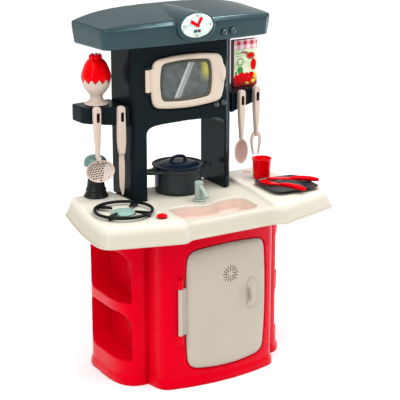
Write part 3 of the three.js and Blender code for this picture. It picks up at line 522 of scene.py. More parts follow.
def window_print(f):
    """Grey pane, darker towards the bottom, with slanting pale streaks of painted reflection and a painted
    yellow lamp glow at the upper right.
    """
    x, _, z = f.coordinates()
    mid_x, mid_z = WINDOW["x"] * MM, WINDOW["z"] * MM
    lean = f.minus(x, f.times(z, REFLECTION_LEAN))
    centre = mid_x - REFLECTION_LEAN * mid_z
    pane = f.mix(f.ramp(f.noise(60, 4), 0.3, 0.7), linear(64, 70, 70), linear(90, 95, 95))
    foot = f.ramp(z, mid_z - 0.05, mid_z - 0.018, 0.55, 0, smooth=True)
    pane = f.mix(foot, pane, linear(60, 66, 64))
    # painted light: a yellow lamp glow at the upper right of the pane
    glow_x = f.ramp(x, mid_x + 0.0415, mid_x + 0.0685, smooth=True)
    glow_z = f.ramp(z, mid_z - 0.018, mid_z + 0.027, smooth=True)
    pane = f.mix(f.times(f.times(glow_x, glow_z), 0.8), pane, linear(196, 190, 60))
    # painted reflections: slanting pale streaks across the pane
    for low, high, strength in REFLECTION_STREAKS:
        reflection_streak = f.band(lean, centre + low, centre + high)
        pane = f.mix(f.times(reflection_streak, strength), pane, linear(235, 238, 238))
    return pane


CHECK, LINE_PITCH = 0.022, 0.0082


def carton_print(f):
    """Gingham top band, pale body with green lines and a round badge, a red foot and a dark side."""
    x, y, z = f.coordinates()
    rise, across = f.minus(z, SHELF_Z * MM), f.minus(x, FOOD_BOX["x"][0] * MM)
    stripes = [f.ramp(f.repeat(v, CHECK), 0.48, 0.52) for v in (across, rise)]
    cloth = f.mix(f.times(f.plus(*stripes), 0.5), linear(250, 226, 228), linear(200, 20, 60))
    body = f.mix(f.ramp(f.noise(45, 3), 0.35, 0.65), linear(206, 220, 178), linear(240, 240, 214))
    row = f.ramp(f.repeat(rise, LINE_PITCH), 0.55, 0.62)
    words = f.times(f.times(row, f.band(across, 0.006, 0.036)), f.band(rise, 0.088, 0.104))
    body = f.mix(f.times(words, 0.7), body, linear(60, 130, 60))
    badge = f.band(f.distance((across, 0.022), (rise, 0.072)), 0.0085, 0.0115)
    body = f.mix(badge, body, linear(50, 130, 60))
    foot_red = f.ramp(f.plus(rise, f.times(f.noise(120, 2), 0.014)), 0.030, 0.034, 1, 0)
    body = f.mix(foot_red, body, linear(170, 20, 24))
    front = f.mix(f.ramp(rise, 0.1085, 0.109), body, cloth)
    front_y = FOOD_BOX["y"][0]
    side = f.ramp(y, (front_y + 0.6) * MM, (front_y + 1.0) * MM)
    return f.mix(side, front, linear(120, 40, 60))


def worktop_colour_and_shade(f):
    """Cream with painted shade: darker low on the skirt, a painted shadow line above the lip, and pink
    painted shade on the basin floor and in the dent.
    """
    x, y, z = f.coordinates()
    half, front = BASIN["half_width"] * MM, BASIN["front"] * MM
    # mask of the basin floor, which gets painted shade
    sides = f.ramp(f.maths("ABSOLUTE", x), half - 0.003, half + 0.003, 1, 0)
    basin = f.times(sides, f.ramp(y, front - 0.0025, front - 0.0015))
    basin = f.times(basin, f.ramp(z, (DECK_Z - 16) * MM, (DECK_Z - 2) * MM, 1, 0))
    centre = ((x, DENT["x"] * MM), (y, DENT["y"] * MM))
    dent = f.ramp(f.distance(*centre), (DENT["radius"] - 1.1) * MM, (DENT["radius"] + 0.9) * MM, 1, 0)
    # painted shade: the cream darkens towards the bottom of the skirt, where less light falls
    height = f.ramp(z, (WING_Z - 23) * MM, (WING_Z - 2) * MM)
    shaded_cream = f.mix(height, linear(190, 182, 164), linear(222, 215, 199))
    # painted shadow line just above the lip
    lip_shadow_line = f.times(f.band(z, (LIP_Z + 6) * MM, (LIP_Z + 8) * MM), 0.4)
    shaded_cream = f.mix(lip_shadow_line, shaded_cream, linear(150, 138, 118))
    # painted shade and red bounce light on the basin floor
    basin_shade_colour = f.mix(basin, shaded_cream, linear(222, 192, 178))
    # painted shade in the dent
    return f.mix(dent, basin_shade_colour, linear(212, 178, 158))


# depth=0.16 keeps the painted shade in the red's hollows light
RED = plastic("red_moulded", (207, 0, 25), 0.26, mottle=0.03, grain=0.02, wear=0.02,
              tint=(1, 0.03, 0.12, 1), depth=0.16)
RED_TRIM = plastic("red_trim", (222, 0, 10), 0.16, grain=0.02, wear=0.03, tint=(1, 0.12, 0.12, 1))
RED_CUTLERY = plastic("red_cutlery", (220, 0, 16), 0.18, grain=0.02, wear=0.03,
                      tint=(1, 0.08, 0.1, 1))
CREAM = plastic("cream_moulded", worktop_colour_and_shade, 0.4, mottle=0.03, wear=0.1)
BEIGE = plastic("beige_moulded", (177, 166, 152), 0.4, mottle=0.03, wear=0.12)
OVEN_BEIGE = plastic("oven_beige", (204, 186, 168), 0.36, mottle=0.03, wear=0.12)
TEAL = plastic("teal_moulded", (38, 55, 59), 0.22, wear=0.08, sheen=0.42,
               tint=(0.62, 0.95, 1, 1))
DARK_TEAL = plastic("dark_teal_moulded", (18, 25, 29), 0.2, wear=0.06, sheen=0.07,
                    tint=(0.8, 1, 1, 1))
KNOB = plastic("knob_gloss", (40, 56, 60), 0.12, coat=0.1, wear=0.1, sheen=0.5)
BLACK = plastic("black_gloss", (12, 14, 15), 0.22, wear=0.04, sheen=0.12)
CHARCOAL = plastic("charcoal_moulded", (46, 51, 54), 0.16, wear=0.08, sheen=0.14)
LID_NAVY = plastic("lid_navy", (20, 30, 42), 0.16, wear=0.08, sheen=0.05)
MILL_BLACK = plastic("mill_dark", (30, 33, 30), 0.26, wear=0.08, sheen=0.15)
GREY_GREEN = plastic("grey_green_moulded", (152, 168, 156), 0.34, coat=0.1, wear=0.15)
BURNER_GREEN = plastic("burner_green", (140, 172, 160), 0.36, coat=0.1, wear=0.15)
MILL_GREEN = plastic("mill_green", (88, 120, 112), 0.22, coat=0.4, wear=0.15)
PINK_BEIGE = plastic("pink_beige_moulded", (200, 180, 166), 0.4, mottle=0.03, wear=0.12)
# painted shade inside the serving spoon's bowl
SPOON_HOLLOW_SHADE = plastic("spoon_hollow_painted_shade", (176, 140, 128), 0.4, mottle=0.03, wear=0.1)
# painted shade for the walls of the hanging slots and of the strainer holes
SLOT_SHADE = plastic("slot_painted_shade", (84, 62, 54), 0.5, wear=0.0)
OLIVE = plastic("window_surround", (66, 68, 56), 0.32, coat=0.1)
OVEN_GREY = plastic("oven_inside", (60, 60, 58), 0.6, wear=0.08)
DISPLAY = plastic("clock_display", (54, 60, 60), 0.3)
CLOCK_WHITE = plastic("clock_print", clock_print, 0.45, mottle=0.03, wear=0.0)
PANE = plastic("window_print", window_print, 0.2, coat=0.3, mottle=0.03, wear=0.0)
CARD = plastic("carton_print", carton_print, 0.5, mottle=0.05, grain=0.1, wear=0.1)
LEAF = plastic("printed_green", (46, 140, 52), 0.5)
YELLOW = plastic("printed_yellow", (226, 200, 40), 0.5)
SPOON_WOOD = plastic("printed_wood", (150, 96, 60), 0.5, mottle=0.15)
STEEL = metal("steel", linear(186, 190, 192))


def piece(obj, name, body, material, node=None, sharp=None):
    """Names a finished shape, says what it rides on and what it is made of, and hides the node that it stands
    for.
    """
    obj.name = name
    obj.data.name = name
    obj.data.materials.clear()
    obj.data.materials.append(material)
    obj.data.polygons.foreach_set("use_smooth", [True] * len(obj.data.polygons))
    if sharp:
        obj.data.set_sharp_from_angle(angle=math.radians(sharp))
    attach(obj, body)
    if node:
        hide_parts(node)
    return obj


# --- red base

PLINTH = [(0, -6), (16, -5), (27, -0.3), (28, 0)]
front_outline = mirrored(
    [(15 + 9 * i, BASE_FRONT_Y + bow(15 + 9 * i)) for i in range(16)]
    + bezier([(155, -116.5), (177, -112), (184, -88)], 14)
    + [(188, -64), (191, SEAM_Y), (194, SEAM_Y + 30)])
tower_outline = (
    [(-TOWER_INNER_X, 172)]
    + bezier([(-238, 172), (-262, 172), (-264, 130)], 12)
    + [(-194 - 72 * math.cos(a) ** TOWER_SQUARENESS, 58 - (58 - SEAM_Y) * math.sin(a) ** TOWER_SQUARENESS)
       for a in (i * math.pi / 48 for i in range(24))]
    + [(-194, SEAM_Y), (-TOWER_INNER_X, SEAM_Y)])


def hinge_sockets(hinge, length, wall_y):
    low, high = hinge["low"] - GAP, hinge["high"] + GAP
    x, y, r = hinge["x"], hinge["y"], hinge["radius"] + 1
    return [part for z in ((low - length, low), (high, high + length))
            for part in (rod(r, x, y, z), box((x - r, x + r), (y, wall_y), z))]


def hinge_bore(hinge):
    reach = hinge["reach"] + GAP
    return rod(hinge["pin"] + GAP, hinge["x"], hinge["y"], (hinge["low"] - reach, hinge["high"] + reach))


def base_front_panel():
    seat = prism(front_outline, [(-1, DOOR_RECESS), (OVER, DOOR_RECESS)])
    shell = cut(
        prism(front_outline, [*PLINTH, (FRONT_TOP_Z, 0)]),
        prism(inset(front_outline, BASE_WALL), [(-1, 0), (FRONT_TOP_Z + 1, 0)]),
        box(ACROSS, (SEAM_Y, 400), (-10, OVER)),
        cut(along_y(barrel(DOOR, 3), (-200, 0)), seat),
        along_y(barrel(DOOR, -14), (-200, 0)))
    join(shell, *hinge_sockets(DOOR_HINGE, 28, BASE_FRONT_Y + bow(DOOR_HINGE["x"]) + 4))
    return soften(cut(shell, hinge_bore(DOOR_HINGE)), 2.2, 4)


def shelf_tower():
    panel = prism(inset(front_outline, -GAP), [*PLINTH, (OVER, 0)])
    shell = cut(
        prism(tower_outline, [*PLINTH, (TOWER_TOP_Z, 0)]),
        box((-TOWER_INNER_X, 0), (-200, 300), (-10, OVER)),
        cut(panel, box(ACROSS, (SEAM_Y + GAP, 400), (-20, OVER + 10))),
        box((-195, 0), (-200, SEAM_Y + GAP), (-10, OVER)))
    for low, high in POCKETS:
        profile = rounded((-38, 158), (low, high), (30, 38, 8, 38))
        cut(shell, along_x(profile, (-300, -TOWER_INNER_X - 6)))
    for z in ((-1, POCKETS[0][0] - 9), (POCKETS[1][1] + 7, OVER)):
        cut(shell, prism(inset(tower_outline, 6), [(z[0], 0), (z[1], 0)]))
    stops = [sphere((x, y, low - 0.5), (7, 3, 3.4)) for low, _ in POCKETS for x, y in SHELF_STOPS]
    cut(shell, rod(4, -193.5, SEAM_Y - 2, (-10, OVER)))
    return soften(join(shell, *stops), 2.4, 4)


piece(base_front_panel(), "front_panel", "kitchen", RED, "base_front_panel")
left_tower = shelf_tower()
right_tower = flip_x(linked("shape", left_tower.data.copy()))
piece(left_tower, "left_tower", "kitchen", RED, "left_shelf_tower")
piece(right_tower, "right_tower", "kitchen", RED, "right_shelf_tower")
piece(soften(copy_of("cupboard_floor"), 2.6, 3, 0.4), "cupboard_base", "kitchen", RED, "cupboard_floor")
piece(soften(copy_of("rear_brace"), 1.6, 3, 0.4), "back_bar", "kitchen", RED, "rear_brace")


# --- cupboard door

def bent(obj):
    """Bows a flat-backed shape to the curve of the base's front."""
    for v in obj.data.vertices:
        v.co.y += (BASE_FRONT_Y + bow(v.co.x / MM)) * MM
    return obj


def hinge_barrel(hinge, reach, wall):
    x, y, z = hinge["x"], hinge["y"], (hinge["low"], hinge["high"])
    return [rod(hinge["radius"], x, y, z), box((x, x + reach), wall, z)]


def cupboard_door():
    levels = shift([(0, 27), (0.6, 18), (1.5, 11.5), (2.2, 9), (5.4, 4), (8.6, 0.6)], -DOOR_PROUD)
    door = bent(soften(loft_y(barrel(DOOR), [*levels, (DOOR_RECESS - 1.3, 0)]), 1.5, 3))
    slots = []
    for i in range(VENT["slots"]):
        ray = along_y(rounded((13, 24) if i % 2 else (7, 26), (-1.3, 1.3), 1.2, 5), (-20, 20))
        turn = 2 * math.pi * i / VENT["slots"]
        slots.append(placed(ray, turn, "Y", (VENT["x"], BASE_FRONT_Y, VENT["z"])))
    barrel_part = join(*hinge_barrel(DOOR_HINGE, 19.5, (-128, -124)))
    return cut(join(door, soften(barrel_part, 1.0, 3)), hinge_bore(DOOR_HINGE), *slots)


def door_handle():
    """A low mound with a raised pill grip and a finger scoop beside it."""
    x, z, depth = HANDLE["x"], HANDLE["z"], HANDLE["depth"]
    back = BASE_FRONT_Y + bow(x + HANDLE["width"] / 2) - DOOR_PROUD
    mound = sphere((x, back, z), (HANDLE["width"] / 2, 11, HANDLE["height"] / 2), 64)
    pill = sphere((x + 3, back, z), (15.5, depth, 43), 64)
    seat = prism(inset(front_outline, -DOOR_PROUD - GAP), [(0, 0), (OVER, 0)])
    scoop = sphere((x - 11, back - 10, z - 4), (7.5, 7.5, 27), 64)
    return soften(cut(join(mound, pill), seat, scoop), 0.8, 6)


piece(cupboard_door(), "door_panel", "cupboard_door", BEIGE, "cupboard_door", sharp=32)
piece(door_handle(), "door_grip", "cupboard_door", BEIGE, "door_handle")


# --- worktop

worktop_outline = mirrored(
    [(60, -185)]
    + bezier([(122, -185), (142, -185), (141, -201), (164, -201)], 7)
    + bezier([(345, -147), (366, -139), (371, -122), (372.5, -98)], 10)
    + bezier([(372, -80), (365, 20), (322, 180)], 14)
    + [(314, 196), (302, BACK_Y)])
SKIRT = [*shift([(0, 1.5), (1.5, 0), (5.5, 0), (6.5, 1), (7, 3.4), (9, 4.6)], LIP_Z),
         *shift([(-10, 18), (-3, 21), (0, 25)], WING_Z)]
valley_outline = mirrored([(134, -240), (137, -150), (164, 0), (173, 120), (178, 240)])
basin_outline = mirrored([
    (x, y) for x, y in reversed(
        [(3, -43)] + bezier([(8, -43), (30, -41), (33, -25), (68, -24.5)], 12)
        + bezier([(98, -24), (119, -26), (BASIN["half_width"], -56)], 10)
        + bezier([(119, -104), (116, BASIN["front"] + 1), (76, BASIN["front"])], 12))])


def worktop():
    under = [(LIP_Z - 1, WALL), (LIP_Z + 6, WALL), (LIP_Z + 8, WALL + 3), (WING_Z - WALL, 24)]
    under_deck = prism(inset(valley_outline, -WALL), [(DECK_Z - WALL, 0), (OVER, -9)])
    floor = FRONT_TOP_Z + GAP
    shell = cut(
        prism(worktop_outline, SKIRT),
        prism(valley_outline, [(DECK_Z, 0), (WING_Z + 1, -9)]),
        cut(prism(worktop_outline, under), under_deck))
    join(shell, prism(basin_outline, [(floor, 6), (DECK_Z - 1, -4)]))
    basin = [*shift([(4, 16), (6, 12), (11, 7)], floor), (DECK_Z - 3, 1), (DECK_Z + 1, -1)]
    edge = DENT["radius"]
    dent = [(0, -2.3), (edge - 3.1, -2.2), (edge, 0.1), (edge, 2), (0, 2)]
    cut(shell, prism(basin_outline, basin), turned(dent, DENT["x"], DENT["y"], WING_Z))
    soften(shell, 2.1, 2)
    return cut(shell,
               rod(STUD_HOLE, TAP["x"], TAP["y"], (470, 500)),
               rod(BUTTON["radius"] - 5 + GAP, BUTTON["x"], BUTTON["y"], (470, 520)),
               rod(STUD_HOLE, HOB["x"], HOB["y"], (470, 520)))


piece(worktop(), "worktop_moulding", "kitchen", CREAM, "worktop", sharp=50)


# --- tap, hob and button

def tap_base():
    profile = [(0, -10), (3.6, -10), (3.6, 0.4), (16.2, 0.4), (17, 1.2), (17, 2.4), (16.2, 3.4), (14.6, 3.8),
               (14, 4.6), (13.2, 5.5), (12, 5.6), (0, 5.6)]
    return turned(profile, z=DECK_Z, **TAP)


def tap_spout():
    profile = [(0, 6), (12, 6), (12.6, 7), (12.2, 12), (11.5, 24), (11.6, 40), (11.9, 48), (12.3, 50.5),
               (12.2, 53), (11.3, 54.8), (9, 55.5), (8.4, 54.6), (0, 54.6)]
    post = turned(profile, z=DECK_Z, **TAP)
    x, y = TAP["x"], TAP["y"]
    path = [(x, y - reach, z) for reach, z in ((0, 529), (12, 528), (26, 520), (38, 510))]
    spout = tube(path, [6.8, 5.8, 5.4, 5.8], 28)
    tip = sphere((x, y - 39, 508), (6.8, 6.8, 6.8), 32)
    mouth = rod(3.2, x, y - 40, (496, 505))
    return soften(cut(join(post, spout, tip), mouth), 0.7, 5)


def hob_grate():
    ring = torus(HOB["x"], HOB["y"], HOB["z"], HOB["radius"], HOB["tube"])
    leg_height = HOB["z"] - WING_Z - GAP
    parts = []
    for i in range(HOB["prongs"]):
        angle = HOB["turn"] + i * math.pi / 2
        at = (HOB["x"], HOB["y"], HOB["z"])
        leaf = mirrored([(0.3, 34), (2.6, 40), (4.6, 50), (5.8, 60), (6.6, 70), (6.8, 78)])
        vein = mirrored([(0.3, 46), (1.4, 52), (1.8, 60), (1.2, 68)])
        prong = prism(leaf[::-1], [(-3, 1.2), (-1.6, 0.3), (1.2, 0.3), (3, 1.4)])
        groove = prism(vein[::-1], [(1.6, 0), (5, 0)])
        foot = rounded((-3.2, 3.2), (HOB["radius"] - 3.2, HOB["radius"] + 3.2), 3, 6)
        leg = prism(foot, [(-leg_height, 1), (-leg_height + 1, 0), (0, 0)])
        parts += [placed(part, angle - math.pi / 2, "Z", at) for part in (cut(prong, groove), leg)]
    return soften(join(ring, *parts), 1.0, 4)


def burner_cap():
    profile = [(0, -8), (3.6, -8), (3.6, 0.4), (31, 0.4), (32.6, 1.2), (33, 2.2), (33, 3.4), (31.6, 5.2),
               (29, 6.3), (26.6, 6.7), (25.6, 6.1), (24.4, 6.9), (12, 7.5), (10.6, 6.9), (9.4, 7.6), (0, 7.6)]
    cap = turned(profile, HOB["x"], HOB["y"], WING_Z, sides=120)
    step = 2 * math.pi / HOB["notches"]
    notches = [placed(box((28.6, 36), (-2.2, 2.2), (-1, 3.6)), step * i, "Z", (HOB["x"], HOB["y"], WING_Z))
               for i in range(HOB["notches"])]
    return cut(cap, *notches)


def hob_button():
    r = BUTTON["radius"]
    dome = [(r * math.cos(a), 4.4 + 7.4 * math.sin(a)) for a in (i * math.pi / 24 for i in range(12))]
    profile = [(0, -9), (r - 4, -9), (r - 4, -5.6), (r - 5, -5.6), (r - 5, 3.6), (r - 0.6, 3.6),
               *dome, (0, 11.8)]
    return turned(profile, x=BUTTON["x"], y=BUTTON["y"], z=WING_Z)


piece(tap_base(), "tap_collar", "kitchen", GREY_GREEN, "tap_base", sharp=50)
piece(tap_spout(), "tap", "tap_spout", GREY_GREEN, "tap_spout")
piece(hob_grate(), "grate", "kitchen", BLACK, "hob_grate")
piece(burner_cap(), "burner", "kitchen", BURNER_GREEN, "burner_cap", sharp=40)
piece(hob_button(), "button_dome", "hob_button", RED_TRIM, "hob_button", sharp=50)


# --- upper panel and microwave

panel_outline = mirrored(
    [(60, PANEL_FRONT_Y)]
    + bezier([(128, PANEL_FRONT_Y), (147, 67), (159, 90)], 14)
    + [(COLUMN_OUTER_X, 96), (COLUMN_OUTER_X + 4, PANEL_BACK_Y)])
arch_half = (
    [(COLUMN_INNER_X, 400), (COLUMN_INNER_X, 672)]
    + bezier([(COLUMN_INNER_X, 676), (COLUMN_INNER_X - 2, 693), (104, ARCH_Z - 4)], 12)
    + bezier([(90, ARCH_Z - 2), (45, ARCH_Z + 0.4), (1, ARCH_Z + 0.5)], 8))
arch_outline = mirrored(arch_half)
CAVITY_Z, COLUMN_Z = (712, 958), (500, 671)


def upper_panel():
    block = prism(panel_outline, [(DECK_Z + GAP, 0), (PANEL_TOP_Z, 0)])
    rear = (FRONT_WALL_Y[1], 300)
    interior = join(
        prism(inset(panel_outline, 8), [(COLUMN_Z[0], 0), (CAVITY_Z[1], 0)]),
        box((-148, 148), (100, 300), (COLUMN_Z[0], CAVITY_Z[1])))
    rooms = join(
        box((-200, 200), rear, CAVITY_Z),
        box((-200, -COLUMN_INNER_X - WALL), rear, COLUMN_Z),
        box((COLUMN_INNER_X + WALL, 200), rear, COLUMN_Z))
    mouth = along_y(rounded((-100, 100), (757, 873), 14), (0, 100))
    shell = cut(block, along_y(arch_outline, (0, 300)), meet(interior, rooms), mouth)
    ridge = meet(
        cut(along_y(barrel(OVEN, 10), (0, 130)), along_y(barrel(OVEN, 6), (-5, 140))),
        prism(inset(panel_outline, -1.6), [(700, 0), (950, 0)]))
    join(shell, ridge, *hinge_sockets(OVEN_HINGE, 9, PANEL_FRONT_Y + 3))
    shafts = [forward_rod(SHAFT_HOLE, x, z, (50, 80)) for x, z in KNOBS["oven"]]
    screws = [forward_rod(PIN_HOLE, x, SCREW_Z, (175, 220)) for x in SCREW_X]
    return soften(cut(shell, hinge_bore(OVEN_HINGE), *shafts, *screws), 2.1, 4)


def microwave_door():
    front, back = OVEN_DOOR_Y
    levels = shift([(0, 9), (0.5, 6), (2, 3), (5, 0.6), (8, 0)], front)
    frame_part = loft_y(barrel(OVEN), [*levels, (back - 2, 0), (back, 1.5)])
    swell = sphere((109, 52, 826), (10, 11, 27), 48)
    opening = loft_y(barrel(WINDOW), [*shift([(-1, -5), (1, -3), (5, 0)], front), (100, 0)])
    rebate = along_y(barrel(WINDOW, 4), (front + 6, 100))
    grip = sphere((116, 64, 826), (9, 8, 20), 48)
    barrel_part = join(*hinge_barrel(OVEN_HINGE, 14, (52, 58)))
    door = soften(cut(join(frame_part, swell, barrel_part), opening, rebate, grip), 1.2, 6)
    return cut(door, hinge_bore(OVEN_HINGE))


def window_surround():
    front = OVEN_DOOR_Y[0] + 4.2
    ring = loft_y(barrel(WINDOW, -0.5), shift([(0, 1), (0.8, 0), (3.4, 0)], front))
    hole = loft_y(barrel(WINDOW, -7.5), shift([(-1, -2.4), (0.5, -1.6), (2.2, 0), (6, 0)], front))
    return cut(ring, hole)


def window_pane():
    front = OVEN_DOOR_Y[0] + 7.7
    return loft_y(barrel(WINDOW, 4 - GAP), [(front, 1), (front + 0.6, 0.3), (front + 3.5, 0)])


def microwave_box():
    front, back, room = FRONT_WALL_Y[1] + GAP, 172, (-107, 107)
    shell = loft_y(rounded((-112, 112), (748, 882), 4), [(front, 0), (back - 1, 0), (back, 1)])
    inside = loft_y(rounded(room, (753, 877), 10), [(0, 0), (back - 9, 0), (back - 5, 4)])
    ribs = [box(room, (back - 7, back - 5), (z, z + 2.5)) for z in range(775, 870, 16)]
    return join(cut(shell, inside), *ribs)


def knob(place, wall):
    """A glossy domed knob on its snap-in shaft."""
    dome = [(9.4 * math.cos(a), 2 + 7.4 * math.sin(a)) for a in (i * math.pi / 20 for i in range(10))]
    head = [(2.6, 0), (8.9, 0), (9.4, 0.6), (9.4, 1.6), *dome, (0, 9.4)]
    tail = [(0, -3.5), (2.8, -3.2), (4.2, -GAP), (2.6, -GAP)]
    profile = shift(tail, y=-wall[1]) + shift(head, y=GAP - wall[0])
    return turned(profile, x=place[0], z=place[1], sides=48, forward=True)


piece(upper_panel(), "back_panel", "kitchen", DARK_TEAL, "upper_panel")
piece(microwave_box(), "microwave_liner", "kitchen", OVEN_GREY, "microwave_box", sharp=30)
piece(microwave_door(), "microwave_frame", "microwave_door", OVEN_BEIGE, "microwave_door", sharp=50)
piece(window_surround(), "window_surround", "microwave_door", OLIVE, sharp=40)
piece(window_pane(), "window_pane", "microwave_door", PANE, "microwave_window", sharp=40)
for i, side in enumerate(("left", "right")):
    for row, wall in (("hood", HOOD_KNOB_WALL), ("oven", FRONT_WALL_Y)):
        node = f"{row}_knob_{side}"
        piece(knob(KNOBS[row][i], wall), f"{row}_dial_{side}", node, KNOB, node, sharp=50)


# --- bracket shelves with pegs

def shelf_front(x):
    return 87 + (abs(x) - 165) * 0.39


shelf_outline = (
    [(COLUMN_OUTER_X + 4 + GAP, shelf_front(165)), (268, shelf_front(268))]
    + bezier([(272, shelf_front(272)), (282, 135), (283.5, 145)], 8)
    + bezier([(286, 185), (286.5, BACK_Y), (275, BACK_Y)], 10)
    + [(COLUMN_OUTER_X + 5 + GAP, BACK_Y)])


def bracket_shelf(side):
    rising_underside = [(298, OVER), (298, 714), (184, 703), (COLUMN_OUTER_X, 698), (COLUMN_OUTER_X, OVER)]
    shelf = cut(
        prism(shelf_outline, [(690, 0), (SHELF_Z - 4, 0), (SHELF_Z - 1.2, 0.8), (SHELF_Z, 3)]),
        prism(shelf_outline, [(680, WALL), (SHELF_Z - WALL, WALL)]),
        along_y(rising_underside, (0, 300)))
    soften(shelf, 1.8, 4)
    if side < 0:
        flip_x(shelf)
    r, length = PEG["radius"], PEG["length"]
    profile = [(0, -2), (r, -2), (r, length - 0.8), (r - 0.8, length), (0, length)]
    pegs = [turned(shift(profile, y=-shelf_front(x)), x=x, z=PEG["z"], sides=32, forward=True)
            for x, _ in UTENSILS.values() if x * side > 0]
    return join(shelf, *pegs)


for side, word in ((-1, "left"), (1, "right")):
    piece(bracket_shelf(side), f"{word}_bracket", "kitchen", DARK_TEAL, f"{word}_shelf", sharp=50)


# --- hood and clock

HOOD_CHAMFER, HOOD_WIDEST = 7, 965


def hood_front(x):
    return 25 + 0.00022 * x * x


hood_outline = mirrored(
    [(20 + 10 * i, hood_front(20 + 10 * i)) for i in range(21)]
    + bezier([(242, 38.5), (260, 42), (263, 62)], 14)
    + [(276, BACK_Y + 20)])


def roof(drop):
    """An arch across X that also climbs from the front edge to the back, with a chamfer along the front."""
    across, side, front, back, low = 60, 300, 10, BACK_Y + 2, HOOD_Z - 40
    rows = [*range(front, 56, 2), *range(56, back, 9), back]
    deep = len(rows) - 1
    verts, faces = [], []
    for y in rows:
        t = (y - front) / (back - front)
        for i in range(across + 1):
            x = -side + 2 * side * i / across
            arch = 1 - (x / 275) ** 2
            flat = 1 - (x / 285) ** 4
            chamfer = max(0, HOOD_CHAMFER - (y - hood_front(x)))
            verts.append((x, y, 976 + 7 * arch + t ** 0.8 * (5 + 25 * flat) - chamfer - drop))
    row = across + 1
    for j in range(deep):
        for i in range(across):
            a = j * row + i
            faces.append((a, a + 1, a + row + 1, a + row))
    corners = [len(verts) + i for i in range(4)]
    verts += [(x, y, low) for x, y in rectangle((-side, side), (front, back))]
    faces.append(tuple(reversed(corners)))
    faces.append((corners[0], corners[1], *range(row - 1, -1, -1)))
    faces.append((corners[2], corners[3], *range(deep * row, deep * row + row)))
    faces.append((corners[1], corners[2], *range(deep * row + across, -1 + across, -row)))
    faces.append((corners[3], corners[0], *range(0, deep * row + 1, row)))
    return outwards(mesh_object(verts, faces))


def hood():
    outer = [(HOOD_Z, 5), (HOOD_Z + 4, 3), (HOOD_WIDEST, -3), (HOOD_TOP_Z + 20, -3)]
    boss = [*shift([(0, 4.4), (0.7, 2.4), (2.2, 0.8), (4.4, 0)], CLOCK["y"]), (BACK_Y, 0)]
    shell = join(meet(prism(hood_outline, outer), roof(0)),
                 loft_y(ellipse(0, CLOCK["z"], CLOCK["width"], CLOCK["height"], 96), boss))
    meet(shell, box((-300, 300), (-50, BACK_Y), (HOOD_Z, 1100)))
    cavity = meet(
        prism(hood_outline, [(HOOD_Z - 1, WALL + 5), (HOOD_WIDEST, WALL - 3), (HOOD_TOP_Z, WALL - 3)]),
        roof(WALL),
        box((-300, 300), (0, BACK_Y - WALL), (0, 1100)))
    knob_holes = [forward_rod(r, x, z, (0, deep)) for x, z in KNOBS["hood"]
                  for r, deep in ((SHAFT_HOLE, 60), (11, HOOD_KNOB_WALL[0]))]
    soften(cut(shell, cavity, *knob_holes), 2.2, 4)
    seat = along_y(clock_oval(1), (0, CLOCK["y"] + 3.4))
    screws = [forward_rod(r, x, SCREW_Z, (start, 210)) for x in SCREW_X
              for r, start in ((2.3, 180), (4.6, BACK_Y - 3))]
    return cut(shell, seat, clock_pin_hole(0, CLOCK["y"] + 20), *screws)


def clock_oval(grow):
    return ellipse(0, CLOCK["face_z"], CLOCK["face_width"] + grow, CLOCK["face_height"] + grow, 96)


def clock_pin_hole(front, back):
    return forward_rod(PIN_HOLE, 0, CLOCK["face_z"], (front, back))


def clock_face():
    disc = loft_y(clock_oval(0), shift([(0.4, 0.9), (1, 0), (3, 0)], CLOCK["y"]))
    return cut(disc, clock_pin_hole(0, 20))


def clock_hand(length, width, degrees, y):
    """A bar that widens away from the pin, angle measured clockwise from twelve."""
    half = width / 2
    bar = rounded((-half, half), (-width * 0.6, length), 2.6, 6)
    turn = Matrix.Rotation(-math.radians(degrees), 2)
    points = [tuple(turn @ Vector((px * (0.86 + 0.3 * pz / length), pz))) for px, pz in bar]
    bar = loft_y(shift(points, y=CLOCK["face_z"]), [(y[0], 0.7), (y[0] + 0.5, 0), (y[1], 0)])
    return cut(bar, clock_pin_hole(-20, 20))


def clock_marks(radius=2.4):
    profile = [(0, -0.5), (radius, -0.5), (radius, -0.2), (radius * 0.7, 0.05), (0, 0.1)]
    return join(*[turned(profile, x, CLOCK["y"], CLOCK["face_z"] + z, sides=28, forward=True)
                  for x, z in ((0, 26), (42, 0), (0, -26.5), (-42, 0))])


def clock_display():
    levels = shift([(-0.05, 0.3), (0.15, 0), (0.6, 0)], CLOCK["y"])
    height = (CLOCK["face_z"] - 19, CLOCK["face_z"] - 11)
    return join(*[loft_y(rounded(x, height, 1, 4), levels) for x in ((-10.5, -0.6), (0.6, 10.5))])


def hand_cap():
    profile = [(0, 1.0), (3.9, 1.0), (3.9, 1.5), (3.2, 2.2), (1.8, 2.7), (0, 2.9)]
    return turned(profile, z=CLOCK["face_z"], sides=40, forward=True)


piece(hood(), "hood_shell", "kitchen", TEAL, "hood", sharp=50)
piece(clock_face(), "clock_dial", "kitchen", CLOCK_WHITE, "clock_face", sharp=40)
piece(clock_marks(), "clock_marks", "kitchen", RED_TRIM, sharp=40)
piece(clock_display(), "clock_display", "kitchen", DISPLAY, sharp=40)
for word, length, width, degrees, front in (("hour", 24, 8.4, -58, 1.6), ("minute", 25, 7.6, 31, 3.6)):
    y = CLOCK["y"] - front
    piece(clock_hand(length, width, degrees, (y, y + 1.6)), f"{word}_pointer", f"{word}_hand", RED_TRIM,
          f"{word}_hand", sharp=40)
piece(hand_cap(), "hand_cap", "minute_hand", RED_TRIM, sharp=50)


# --- hanging utensils

def flat_part(half, depth):
    """A flat symmetric outline in the X-Z plane with rounded faces."""
    points = mirrored(half)
    return loft_y(points, [(-depth, 1.6), (-depth * 0.55, 0.4), (depth * 0.55, 0.4), (depth, 1.6)])


